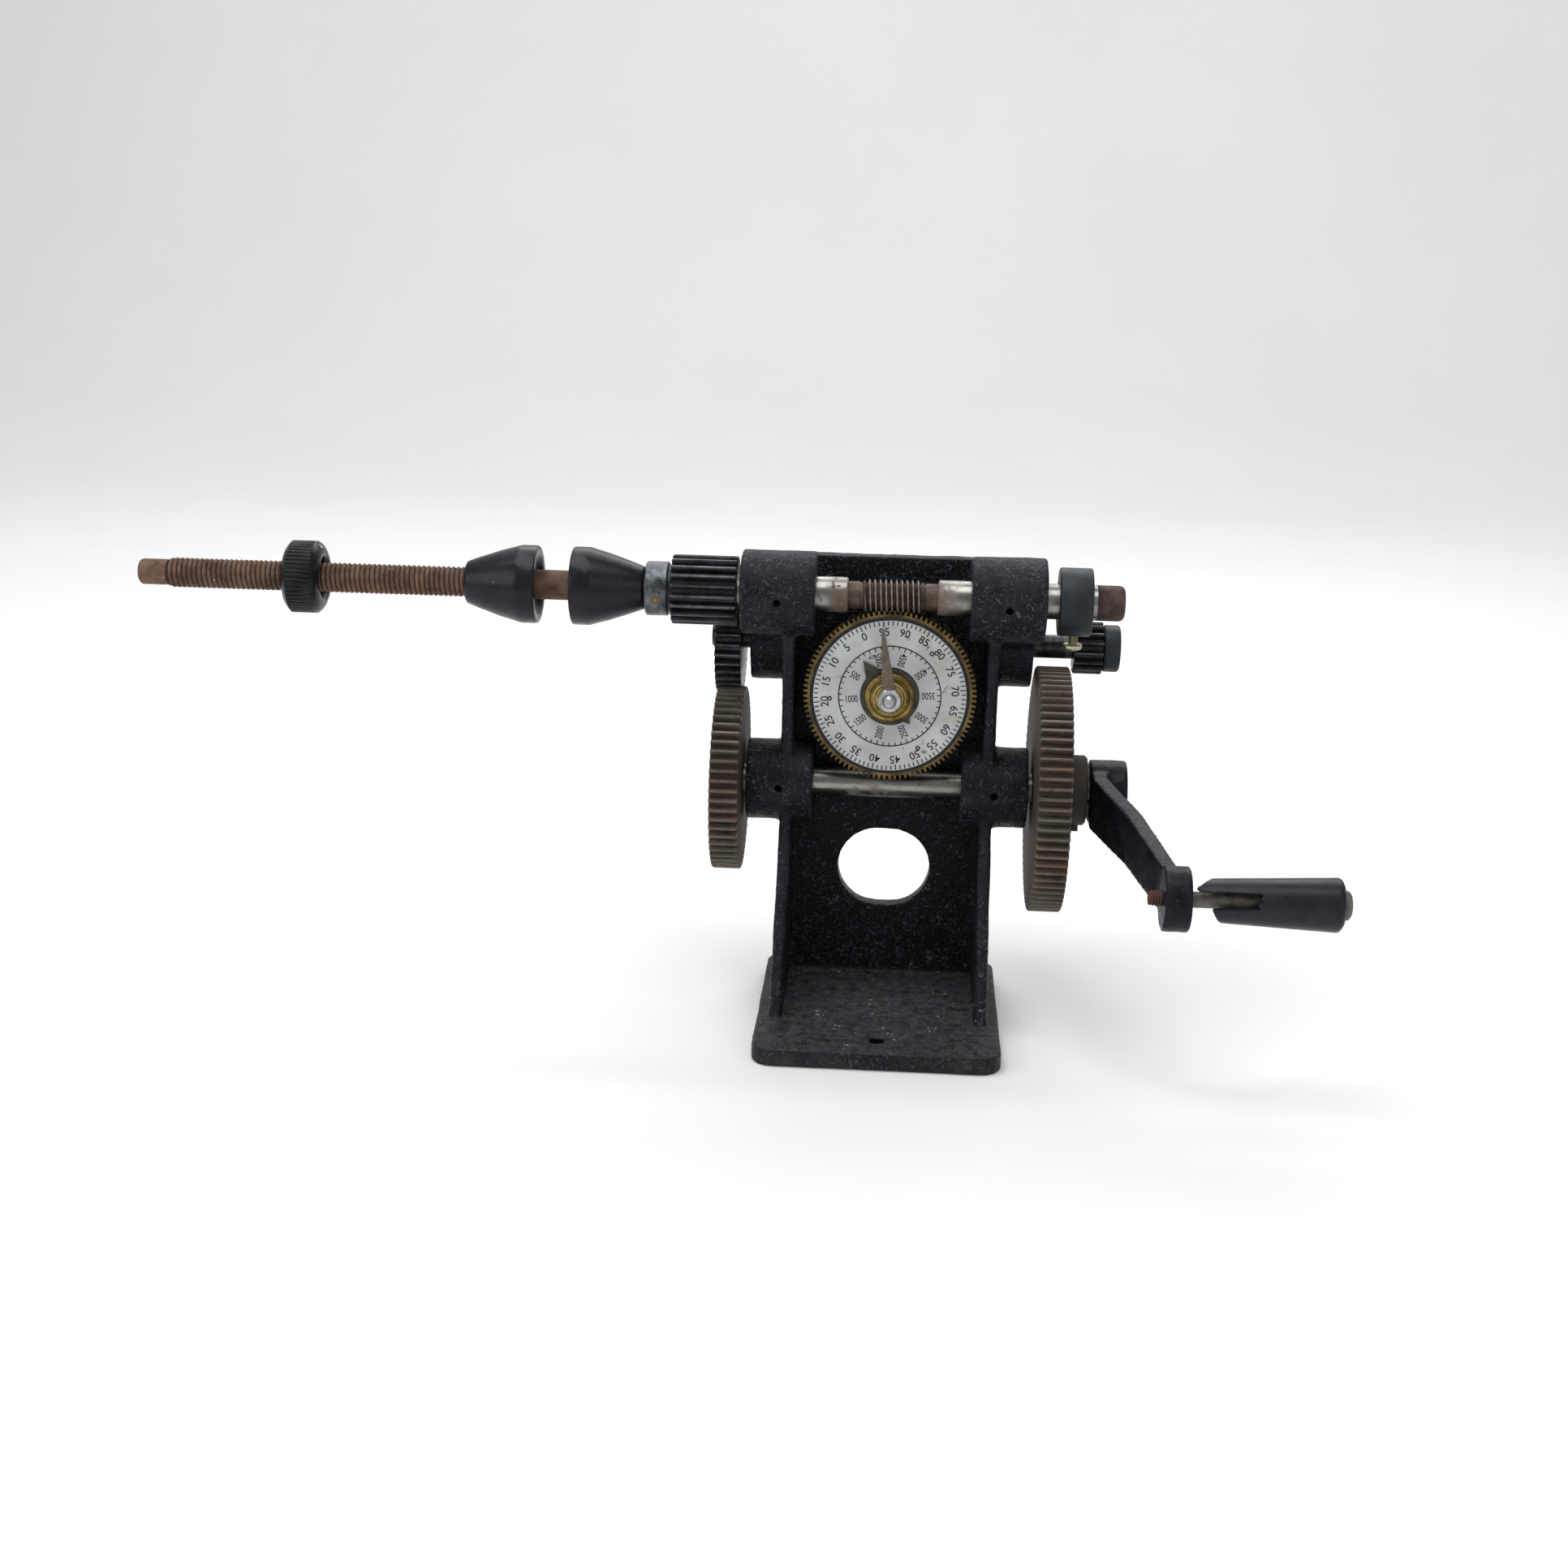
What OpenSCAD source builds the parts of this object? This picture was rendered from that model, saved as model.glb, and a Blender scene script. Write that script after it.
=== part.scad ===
// Hand-cranked two-speed wire winder with a differential turn counter.
// X runs along the winding spindle, Y away from the operator, Z up.
// The origin is the middle of the base's underside.

/* [Base and frame] */
// Width of the base plate
base_w = 96; // [90:1:120]
// Depth of the base plate
base_d = 112; // [110:1:130]
// Thickness of the base plate
base_t = 7; // [5:0.5:10]
// Corner radius of the base plate
base_r = 9; // [4:1:12]
// Diameter of the bench bolt holes
bolt_d = 6; // [4:0.5:6.5]
// Front bolt hole to the front edge
bolt_front = 14; // [8:1:18]
// Rear bolt hole to the rear edge
bolt_rear = 6; // [5:0.5:7]
// Front face of the web, behind the base's middle
web_y = 36.5; // [36:0.5:38]
// Thickness of the web
web_t = 8; // [6:0.5:9]
// Height of the web's top edge
web_top = 183; // [178:1:186]
// Width of the oval window in the web
window_w = 38; // [34:1:44]
// Height of the oval window in the web
window_h = 33; // [24:1:34]
// Height of the window's middle
window_z = 53; // [46:1:56]
// Outer face of each side rib from the middle
rib_out = 43; // [41:0.5:46]
// Thickness of each side rib
rib_t = 4.6; // [3:0.2:6]
// Toe of each rib ahead of the base's middle
rib_toe = 24; // [10:1:40]

/* [Bearings] */
// Height of the spindle
spindle_z = 170; // [168:1:176]
// Spindle axis behind the base's middle
spindle_y = 20; // [19:0.5:21]
// Diameter of the upper bearing bosses
upper_boss_d = 33.5; // [28:0.5:34]
// Inner face of each upper boss from the middle
upper_boss_in = 30.5; // [30:0.5:36]
// Outer face of each upper boss from the middle
upper_boss_out = 60; // [56:0.5:64]
// Diameter of the lower bearing bosses
lower_boss_d = 33; // [26:0.5:34]
// Inner face of each lower boss from the middle
lower_boss_in = 30; // [29:0.5:36]
// Outer face of each lower boss from the middle
lower_boss_out = 57; // [54:0.5:60]
// Diameter of the rear bearing bosses
rear_boss_d = 34; // [22:0.5:36]
// Diameter of the rear bearing tube behind the web
rear_tube_d = 16; // [13:0.5:18]
// Diameter of the oil holes
oil_d = 2.8; // [1.5:0.1:4]
// Radial running clearance of shafts in their bores
run_gap = 0.05; // [0.02:0.01:0.09]
// Radial seating clearance of fixed pieces
seat_gap = 0.02; // [0.01:0.01:0.05]

/* [Gear train] */
// Module of the gear teeth
gear_module = 1.25; // [1.2:0.01:1.3]
// Teeth of the spindle pinion
spindle_teeth = 20; // [19:1:21]
// Teeth of the countershaft gear
counter_teeth = 35; // [33:1:37]
// Teeth of the low-speed gear
low_teeth = 58; // [56:1:60]
// Teeth of the countershaft pinion
fast_teeth = 15; // [14:1:16]
// Thinning of each tooth for backlash
backlash = 0.2; // [0.1:0.02:0.4]
// Direction from the spindle to the countershaft, degrees above the rear
counter_dir = -42; // [-46:1:-40]
// Direction from the countershaft to the crank shaft
lower_dir = -104.5; // [-107:0.5:-102]
// Width of the long spindle pinion
pinion_w = 26; // [24:0.5:30]
// Width of the countershaft gear
counter_w = 10.5; // [8:0.5:11.5]
// Width of the low-speed gear
low_w = 11.5; // [9:0.5:13]
// Width of the high-speed gear
high_w = 13; // [10:0.5:14]
// Width of the countershaft pinion
fast_w = 11.8; // [9:0.2:13]
// Side gap between a gear and the boss beside it
gear_gap = 1.5; // [0.6:0.1:2.5]
// Side gap between the countershaft pinion and the high-speed gear, out of mesh
idle_gap = 1.7; // [0.8:0.1:2.5]

/* [Spindle] */
// Diameter of the winding thread
thread_d = 12; // [10:0.5:13]
// Diameter of the spindle in its bearings
journal_d = 14; // [13:0.5:16]
// Length of the threaded stretch left of the pinion's hub
thread_len = 193; // [180:1:220]
// Length of the plain tip
tip_len = 11.6; // [6:0.2:16]
// Diameter of the plain tip
tip_d = 10.3; // [8:0.1:11]
// Length of the spindle right of its collar
stub_len = 13; // [6:0.5:16]
// Diameter of the pinion's hub
pinion_hub_d = 21.4; // [18:0.2:23]
// Length of the pinion's hub
pinion_hub_len = 9; // [6:0.5:12]
// Groove between the pinion's teeth and hub
pinion_groove = 1.5; // [1:0.1:3]
// Diameter of the stop collar
collar_d = 27; // [22:0.5:28]
// Width of the stop collar
collar_w = 12.8; // [9:0.2:14]
// Gap between the right upper boss and the stop collar
collar_gap = 5; // [3:0.5:7]

/* [Clamping pieces] */
// Length of each clamping cone
cone_len = 29; // [24:0.5:34]
// Diameter of each cone's wide band
cone_d = 31; // [26:0.5:36]
// Diameter of each cone's narrow end
cone_small_d = 17.5; // [16:0.5:20]
// Width of each cone's band
cone_band = 8; // [5:0.5:11]
// Gap between the wide ends of the two cones
cone_gap = 13.7; // [10:0.1:24]
// Gap between the left cone and the thumb nut
nut_gap = 57.5; // [50:0.5:64]
// Diameter of the thumb nut
nut_d = 29; // [24:0.5:34]
// Width of the thumb nut
nut_w = 15; // [10:0.5:18]
// Ridges around the thumb nut
nut_ridges = 50; // [36:1:60]

/* [Turn counter] */
// Axial pitch of the worm
worm_pitch = 2.12; // [2:0.02:2.2]
// Outer diameter of the worm
worm_d = 13.2; // [12.4:0.1:13.6]
// Depth of the worm's thread
worm_depth = 1.65; // [1.5:0.05:1.8]
// Turns of the worm's thread
worm_turns = 11; // [9:1:11]
// Teeth of the front counter wheel
front_teeth = 100; // [99:1:101]
// Teeth of the rear counter wheel
rear_teeth = 102; // [101:1:103]
// Thickness of each counter wheel
wheel_t = 3; // [2:0.1:3.2]
// Gap between the two counter wheels
wheel_gap = 0.4; // [0.3:0.05:0.8]
// Diameter of the dial plate
dial_d = 61; // [50:0.5:63]
// Thickness of the dial plate
dial_t = 0.8; // [0.5:0.1:1.2]
// Diameter of the dial plate's middle hole
dial_hole_d = 23.6; // [22:0.2:28]
// Diameter of the counter stud
stud_d = 6; // [5:0.2:7]
// Diameter of the stud's screwed end
stud_end_d = 4.6; // [3.6:0.1:4.8]
// Diameter of the knurled hub
hub_d = 20; // [16:0.2:21]
// Length of the fixed pointer
long_pointer_len = 28.3; // [24:0.1:30]
// Length of the moving pointer's tip
short_pointer_len = 17.9; // [14:0.1:22]
// Length of the moving pointer's tail
short_pointer_tail = 13.7; // [11:0.1:16]
// Thickness of the pointers
pointer_t = 0.8; // [0.5:0.1:1.2]

/* [Crank] */
// Diameter of the crank shaft
shaft_d = 12; // [10:0.5:13]
// Diameter of the countershaft
counter_d = 9.5; // [8:0.5:10]
// Length of the high-speed gear's hub
high_hub_len = 9; // [6:0.5:12]
// Diameter of the high-speed gear's hub
high_hub_d = 28.6; // [22:0.2:32]
// Crank radius
crank_r = 95; // [85:1:110]
// Crank direction at rest, degrees from the rear
crank_dir = 189; // [180:1:200]
// Diameter of the crank's hub
crank_hub_d = 25.4; // [22:0.2:28]
// Width of the crank's hub
crank_hub_w = 15; // [12:0.5:18]
// Sideways offset of the crank's end boss from its hub
crank_offset = 20.5; // [18:0.5:26]
// Diameter of the crank's end boss
crank_end_d = 24.5; // [18:0.5:26]
// Width of the crank's end boss
crank_end_w = 10; // [8:0.5:13]
// Diameter of the handle pin
pin_d = 6; // [5:0.2:7]
// Length of the hand grip
grip_len = 53.5; // [44:0.5:70]
// Diameter of the grip's outer end
grip_d = 20.4; // [16:0.2:26]
// Diameter of the grip's inner end
grip_small_d = 15.6; // [13:0.2:18]
// Length of the break at the grip's inner end
break_len = 22; // [8:0.5:26]
// Diameter of the shift knob
knob_d = 19; // [14:0.5:22]
// Width of the shift knob
knob_w = 6.7; // [4:0.1:7]

/* [Hidden] */
$fn = 64;

// Overlap used where one solid runs into another of the same piece
bite = 0.5;
// Smallest gap between pieces that move past each other
slip_gap = 0.3;
// Gap between a gear that slides or swings and the boss beside it
boss_gap = 0.5;
// Gap between the high-speed gear's hub and the crank's hub
crank_gap = 1;
// Gap between the crank's end boss and the hand grip
grip_gap = 2;

// Places of the three parallel shafts
high_teeth = counter_teeth + low_teeth - fast_teeth;
reach_upper = gear_module * (spindle_teeth + counter_teeth) / 2;
reach_lower = gear_module * (counter_teeth + low_teeth) / 2;
counter_y = spindle_y + reach_upper * cos(counter_dir);
counter_z = spindle_z + reach_upper * sin(counter_dir);
lower_y = counter_y + reach_lower * cos(lower_dir);
lower_z = counter_z + reach_lower * sin(lower_dir);

// Stations along the spindle
pinion_right = -upper_boss_out - gear_gap;
pinion_left = pinion_right - pinion_w;
pinion_groove_depth = 1.2;
hub_left = pinion_left - pinion_groove - pinion_hub_len;
thread_left = hub_left - thread_len;
tip_left = thread_left - tip_len;
cone_right_at = hub_left - slip_gap;
cone_left_at = cone_right_at - 2 * cone_len - cone_gap;
nut_at = cone_left_at - nut_gap;
collar_left = upper_boss_out + collar_gap;
stub_right = collar_left + collar_w + stub_len;

// Stations along the crank shaft and the countershaft
low_right = -lower_boss_out - gear_gap;
high_left = lower_boss_out + gear_gap + boss_gap;
high_right = high_left + high_w;
high_hub_right = high_right + high_hub_len;
crank_left = high_hub_right + crank_gap;
crank_right = crank_left + crank_hub_w;
end_left = crank_left + crank_offset;
end_right = end_left + crank_end_w;
counter_right = -upper_boss_out - boss_gap;
fast_left = high_right + idle_gap;
fast_right = fast_left + fast_w;
knob_left = fast_right + slip_gap;
knob_right = knob_left + knob_w;
knob_end = 1.2;
knob_slack = 0.3;
shaft_over = 2.5;
grip_left = end_right + grip_gap;
grip_right = grip_left + grip_len;
pin_over = 5;
pin_head_d = 11;
pin_head_t = 3;

// Worm and counter wheels, all set out from the front wheel's pitch circle
wheel_pitch_r = front_teeth * worm_pitch / 360 * 180 / PI;
wheel_add = 0.75;
wheel_tip_r = wheel_pitch_r + wheel_add;
tooth_play = 0.2;
stud_z = spindle_z - wheel_tip_r - worm_d / 2 + worm_depth - tooth_play;
wheel_root_r = spindle_z - stud_z - worm_d / 2 - tooth_play;
worm_root_r = worm_d / 2 - worm_depth;
worm_core_d = 7;
neck_d = 10.7;
neck_len = 4.6;
// Share of a pitch from a thread's start to the middle of its crest
crest_mid = 0.32;
thread_start = -worm_pitch * (0.75 + crest_mid + (worm_turns - 1) / 2);
worm_end = 0.35;
worm_left = thread_start - worm_end;
worm_len = (worm_turns + 1) * worm_pitch + 2 * worm_end;
worm_right = worm_left + worm_len;
worm_sides = 20;

// Stations along the counter stud, from the web to its tip
pointer_gap = 0.4;
rear_back = spindle_y + wheel_gap / 2 + wheel_t;
rear_front = spindle_y + wheel_gap / 2;
front_back = spindle_y - wheel_gap / 2;
front_front = front_back - wheel_t;
dial_front = front_front - dial_t;
pointer_back = dial_front - pointer_gap;
pointer_front = pointer_back - pointer_t;
hub_w = 2.4;
hub_front = pointer_front - hub_w;
washer_t = 0.9;
washer_d = 13.6;
washer_back = hub_front - slip_gap;
washer_front = washer_back - washer_t;
long_front = washer_front - pointer_t;
stud_nut_t = 4;
stud_nut_d = 10;
stud_over = 3.4;
stud_tip = long_front - stud_nut_t - stud_over;
sleeve_d = 12;
nose_d = 8;
rear_hub_d = 16;
shoulder_d = 12;
rear_hub_len = 6.5;
shoulder_front = rear_back + rear_hub_len + slip_gap;

// Rivets of the dial plate
rivet_d = 1.8;
rivet_r = 24;
rivet_dirs = [48, 184, 300];
rivet_depth = 2.1;
rivet_head = 0.1;

// Small screws
screw_d = 4;
collar_screw_at = collar_left + collar_w / 2;
high_screw_dir = 255;
crank_pin_dir = 330;
pinion_screw_dir = 197;
crank_pin_at = crank_left + 6;

// Turn that sets a low-speed tooth gap against the countershaft gear's tooth
tooth_step = 360 / counter_teeth;
tooth_lead = lower_dir - counter_dir - 180;
tooth_lag = tooth_lead - floor(tooth_lead / tooth_step) * tooth_step;
low_turn = lower_dir + 180 + tooth_lag * counter_teeth / low_teeth + 180 / low_teeth;

// Corners of the side rib, as shares of the bosses' diameters
rib_reach = 0.36;
rib_half = 0.3;
rib_lean = 0.22;

// Colours
iron_black = [0.10, 0.11, 0.13];
steel_rust = [0.33, 0.24, 0.18];
steel_bright = [0.62, 0.61, 0.58];
steel_black = [0.16, 0.17, 0.18];
plastic_black = [0.12, 0.13, 0.16];
brass_aged = [0.52, 0.41, 0.16];
dial_silver = [0.80, 0.81, 0.82];

function inv_deg(a) = tan(a) * 180 / PI - a;

// Involute tooth form: half angle of the tooth at radius r
function flank_angle(r, teeth, thin) =
    let (pitch_r = gear_module * teeth / 2, base_rad = pitch_r * cos(20))
    90 / teeth - thin / 2 / pitch_r * 180 / PI + inv_deg(20) - inv_deg(acos(min(1, base_rad / r)));

// Turns the drawing plane to face along X: drawing x goes to Y, drawing y to Z
module along_x(at, y, z) {
    translate([at, y, z]) rotate([90, 0, 90]) children();
}

// Turns the drawing plane to face the operator, ending at the given back face
module facing_front(back) {
    translate([0, back, stud_z]) rotate([90, 0, 0]) children();
}

module rod(left, right, d, y, z) {
    along_x(left, y, z) cylinder(d = d, h = right - left);
}

// Radial hole or screw body, from near to far, turned about the X axis at y, z
module radial(at, y, z, dir, near, far, d) {
    translate([at, y, z]) rotate([dir, 0, 0]) translate([0, near, 0]) rotate([-90, 0, 0])
        cylinder(d = d, h = far - near, $fn = 32);
}

module gear_outline(teeth, thin, turn) {
    pitch_r = gear_module * teeth / 2;
    base_rad = pitch_r * cos(20);
    tip_r = pitch_r + gear_module;
    root_r = pitch_r - 1.25 * gear_module;
    start_r = max(base_rad, root_r);
    steps = 3;
    radii = [for (i = [0 : steps]) start_r + (tip_r - start_r) * i / steps];
    root_angle = flank_angle(start_r, teeth, thin);
    function at(r, a) = [r * cos(a), r * sin(a)];
    polygon([for (k = [0 : teeth - 1]) let (c = turn + k * 360 / teeth) each concat(
        root_r < base_rad ? [at(root_r, c - root_angle)] : [],
        [for (r = radii) at(r, c - flank_angle(r, teeth, thin))],
        [for (i = [steps : -1 : 0]) at(radii[i], c + flank_angle(radii[i], teeth, thin))],
        root_r < base_rad ? [at(root_r, c + root_angle)] : [])]);
}

// Plain trapezoid teeth, with a gap set at the given direction
module wheel_outline(teeth, gap_dir) {
    step = 360 / teeth;
    tip_half = step * 0.11;
    root_half = step * 0.29;
    polygon([for (k = [0 : teeth - 1]) let (c = gap_dir + step * (k + 0.5))
        for (p = [[wheel_root_r, -root_half], [wheel_tip_r, -tip_half],
                  [wheel_tip_r, tip_half], [wheel_root_r, root_half]])
            [p[0] * cos(c + p[1]), p[0] * sin(c + p[1])]]);
}

// Round outline with ridges around it
module ridged_outline(d, ridges, depth) {
    step = 360 / ridges;
    polygon([for (k = [0 : ridges - 1]) for (p = [[0, -0.34], [-depth, -0.16], [-depth, 0.16], [0, 0.34]])
        (d / 2 + p[0]) * [cos(step * (k + p[1] + 0.5)), sin(step * (k + p[1] + 0.5))]]);
}

module rounded_plate(w, d, r) {
    square([w - 2 * r, d], center = true);
    square([w, d - 2 * r], center = true);
    for (x = [-1, 1], y = [-1, 1]) translate([x * (w / 2 - r), y * (d / 2 - r)]) circle(r);
}

module oval(w, h) {
    square([w - h, h], center = true);
    for (s = [-1, 1]) translate([s * (w - h) / 2, 0]) circle(d = h);
}

// Side rib: slopes from its toe to the lower boss, then stands up to the upper boss
module rib_outline() {
    polygon([[-rib_toe, base_t - bite], [-rib_toe, base_t + 2],
        [lower_y - lower_boss_d * rib_reach, lower_z - lower_boss_d * rib_half],
        [lower_y - lower_boss_d * rib_reach, lower_z + lower_boss_d * rib_half],
        [spindle_y - upper_boss_d * rib_lean, spindle_z - upper_boss_d * rib_half],
        [spindle_y, spindle_z],
        [web_y + web_t, web_top], [web_y + web_t, base_t - bite]]);
}

module frame_casting() {
    rear_y = web_y + web_t;
    neck_share = 0.6;
    color(iron_black) difference() {
        union() {
            linear_extrude(base_t) rounded_plate(base_w, base_d, base_r);
            translate([-rib_out, web_y, base_t - bite]) cube([2 * rib_out, web_t, web_top - base_t + bite]);
            for (s = [0, 1]) mirror([s, 0, 0]) {
                along_x(rib_out - rib_t, 0, 0) linear_extrude(rib_t) rib_outline();
                rod(upper_boss_in, upper_boss_out, upper_boss_d, spindle_y, spindle_z);
                rod(lower_boss_in, lower_boss_out, lower_boss_d, lower_y, lower_z);
                rod(rib_out - rib_t, lower_boss_out, rear_boss_d, counter_y, counter_z);
                // neck that joins the rear boss to the upper one
                hull() {
                    rod(rib_out - rib_t, lower_boss_out, rear_boss_d * neck_share, counter_y, counter_z);
                    rod(rib_out - rib_t, lower_boss_out, upper_boss_d * neck_share, spindle_y, spindle_z);
                }
            }
            rod(-rib_out, rib_out, rear_tube_d, counter_y, counter_z);
        }
        translate([0, rear_y + bite, window_z]) rotate([90, 0, 0])
            linear_extrude(web_t + 2 * bite) oval(window_w, window_h);
        for (y = [bolt_front - base_d / 2, base_d / 2 - bolt_rear])
            translate([0, y, -bite]) cylinder(d = bolt_d, h = base_t + 2 * bite);
        rod(-upper_boss_out - bite, upper_boss_out + bite, journal_d + 2 * run_gap, spindle_y, spindle_z);
        rod(-lower_boss_out - bite, lower_boss_out + bite, shaft_d + 2 * run_gap, lower_y, lower_z);
        rod(-lower_boss_out - bite, lower_boss_out + bite, counter_d + 2 * run_gap, counter_y, counter_z);
        for (x = [-1, 1]) {
            radial(x * (upper_boss_in + upper_boss_out) / 2, spindle_y, spindle_z, 186,
                journal_d / 4, upper_boss_d, oil_d);
            radial(x * (lower_boss_in + lower_boss_out) / 2, lower_y, lower_z, 180,
                shaft_d / 4, lower_boss_d, oil_d);
        }
        facing_front(rear_y + bite) cylinder(d = stud_d + 2 * seat_gap, h = web_t + 2 * bite);
    }
}

module counter_stud() {
    color(steel_bright) union() {
        facing_front(web_y + web_t) cylinder(d = stud_d, h = web_t + web_y - washer_back);
        facing_front(web_y) cylinder(d = shoulder_d, h = web_y - shoulder_front);
        facing_front(washer_back + bite) cylinder(d = stud_end_d, h = washer_back + bite - stud_tip);
    }
}

// Flat ring on the counter stud
module stud_ring(back, d, bore, t) {
    facing_front(back) difference() {
        cylinder(d = d, h = t);
        translate([0, 0, -bite]) cylinder(d = bore, h = t + 2 * bite);
    }
}

module stud_washer() {
    color(brass_aged) stud_ring(washer_back, washer_d, stud_end_d + 2 * seat_gap, washer_t);
}

module long_pointer() {
    width = 6.2;
    turn = 7.4;
    color(steel_rust) facing_front(washer_front) linear_extrude(pointer_t) difference() {
        rotate(turn) union() {
            circle(d = width);
            polygon([[-width / 2, 0], [width / 2, 0], [0.5, long_pointer_len], [-0.5, long_pointer_len]]);
        }
        circle(d = stud_end_d + 2 * seat_gap);
    }
}

module stud_nut() {
    color(steel_bright) facing_front(long_front) difference() {
        cylinder(d = stud_nut_d, h = stud_nut_t, $fn = 6);
        translate([0, 0, -bite]) cylinder(d = stud_end_d + 2 * seat_gap, h = stud_nut_t + 2 * bite);
    }
}

// Direction of the tooth gap over the stud that meets the worm's thread in a wheel's middle plane
function worm_gap_dir(offset) =
    90 - asin(offset / (worm_d / 2)) / 360 * worm_pitch / wheel_pitch_r * 180 / PI;

module rear_counter_wheel() {
    middle = (rear_back + rear_front) / 2;
    color(brass_aged) difference() {
        union() {
            facing_front(rear_back) linear_extrude(wheel_t)
                wheel_outline(rear_teeth, worm_gap_dir(middle - spindle_y));
            facing_front(rear_back + rear_hub_len) cylinder(d = rear_hub_d, h = rear_hub_len + bite);
            facing_front(rear_front + bite) cylinder(d = sleeve_d, h = rear_front + bite - pointer_back);
            facing_front(pointer_back + bite) cylinder(d = nose_d, h = pointer_back + bite - pointer_front);
        }
        facing_front(shoulder_front + bite)
            cylinder(d = stud_d + 2 * run_gap, h = shoulder_front + 2 * bite - hub_front);
    }
}

module counter_hub() {
    color(brass_aged) facing_front(pointer_front) difference() {
        linear_extrude(hub_w) ridged_outline(hub_d, 40, 0.5);
        translate([0, 0, -bite]) cylinder(d = stud_d + 2 * run_gap, h = hub_w + 2 * bite);
    }
}

module short_pointer() {
    ring_d = 23;
    half = 9;
    turn = 37.8;
    color(steel_black) facing_front(pointer_back) linear_extrude(pointer_t) difference() {
        rotate(turn) union() {
            circle(d = ring_d);
            polygon([[-half, 0], [half, 0], [0, short_pointer_len]]);
            polygon([[half, 0], [-half, 0], [0, -short_pointer_tail]]);
        }
        circle(d = nose_d + 2 * seat_gap);
    }
}

module front_counter_wheel() {
    middle = (front_back + front_front) / 2;
    color(brass_aged) difference() {
        facing_front(front_back) linear_extrude(wheel_t)
            wheel_outline(front_teeth, worm_gap_dir(middle - spindle_y));
        facing_front(front_back + bite) cylinder(d = sleeve_d + 2 * run_gap, h = wheel_t + 2 * bite);
        dial_rivet_bodies(2 * seat_gap, bite);
    }
}

module dial_plate() {
    color(dial_silver) difference() {
        stud_ring(front_front, dial_d, dial_hole_d, dial_t);
        dial_rivet_bodies(2 * seat_gap, bite);
    }
}

module dial_rivet_bodies(grow, over) {
    for (a = rivet_dirs) facing_front(front_front + rivet_depth)
        translate([rivet_r * cos(a), rivet_r * sin(a), 0])
            cylinder(d = rivet_d + grow, h = rivet_depth + dial_t + over, $fn = 24);
}

module dial_rivets() {
    color(steel_bright) dial_rivet_bodies(0, rivet_head);
}

module spindle() {
    color(steel_rust) union() {
        rod(tip_left, thread_left, tip_d, spindle_y, spindle_z);
        rod(thread_left, hub_left, thread_d, spindle_y, spindle_z);
        rod(hub_left, worm_left - neck_len, journal_d, spindle_y, spindle_z);
        rod(worm_left - neck_len, worm_left, neck_d, spindle_y, spindle_z);
        rod(worm_left, worm_right, worm_core_d, spindle_y, spindle_z);
        rod(worm_right, worm_right + neck_len, neck_d, spindle_y, spindle_z);
        rod(worm_right + neck_len, stub_right, journal_d, spindle_y, spindle_z);
    }
}

// The worm: a helical thread whose crest passes over the counter stud at the bottom
module worm() {
    marks = [[0, 0], [0.18, 1], [0.46, 1], [0.64, 0]];
    per = len(marks);
    rows = worm_turns * per + 2;
    // height of the thread fades in and out over half a turn
    function fade(t) = max(0, min(1, 2 * t, 2 * (worm_turns - t)));
    function ring_point(a, x, r) = [x, r * cos(a), r * sin(a)];
    points = [for (i = [0 : worm_sides - 1]) let (a = 360 * i / worm_sides) each concat(
        [ring_point(a, worm_left, worm_root_r)],
        [for (m = [0 : worm_turns - 1], k = marks) ring_point(a,
            thread_start + worm_pitch * (a / 360 + m + k[0]),
            worm_root_r + worm_depth * k[1] * fade(m + a / 360))],
        [ring_point(a, worm_right, worm_root_r)])];
    function id(i, j) = i * rows + j;
    last = worm_sides - 1;
    quads = [for (i = [0 : last - 1], j = [0 : rows - 2]) each
        [[id(i, j), id(i, j + 1), id(i + 1, j + 1)], [id(i, j), id(i + 1, j + 1), id(i + 1, j)]]];
    // the last strip joins turn m to turn m + 1 of the first column
    seam = [for (j = [1 : rows - 2 - per - 1]) each
        [[id(last, j), id(last, j + 1), id(0, j + per + 1)],
         [id(last, j), id(0, j + per + 1), id(0, j + per)]]];
    seam_start = concat([for (j = [0 : per]) [id(last, 0), id(0, j + 1), id(0, j)]],
        [[id(last, 0), id(last, 1), id(0, per + 1)]]);
    seam_end = concat(
        [for (j = [rows - 2 - per : rows - 2]) [id(last, j), id(last, j + 1), id(0, rows - 2)]],
        [[id(last, rows - 1), id(0, rows - 1), id(0, rows - 2)]]);
    caps = [[for (i = [0 : last]) id(i, 0)], [for (i = [last : -1 : 0]) id(i, rows - 1)]];
    color(steel_rust) difference() {
        translate([0, spindle_y, spindle_z])
            polyhedron(points, concat(quads, seam, seam_start, seam_end, caps));
        rod(worm_left - bite, worm_right + bite, worm_core_d + 2 * seat_gap, spindle_y, spindle_z);
    }
}

module spindle_pinion() {
    color(steel_black) difference() {
        union() {
            along_x(pinion_left, spindle_y, spindle_z) linear_extrude(pinion_w)
                gear_outline(spindle_teeth, backlash, counter_dir + 180 / spindle_teeth);
            rod(hub_left, pinion_left - pinion_groove, pinion_hub_d, spindle_y, spindle_z);
            rod(pinion_left - pinion_groove - bite, pinion_left + bite,
                pinion_hub_d - 2 * pinion_groove_depth, spindle_y, spindle_z);
        }
        rod(hub_left - bite, pinion_right + bite, journal_d + 2 * seat_gap, spindle_y, spindle_z);
        radial(hub_left + pinion_hub_len / 2, spindle_y, spindle_z, pinion_screw_dir,
            journal_d / 4, pinion_hub_d, screw_d + 2 * seat_gap);
    }
}

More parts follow.
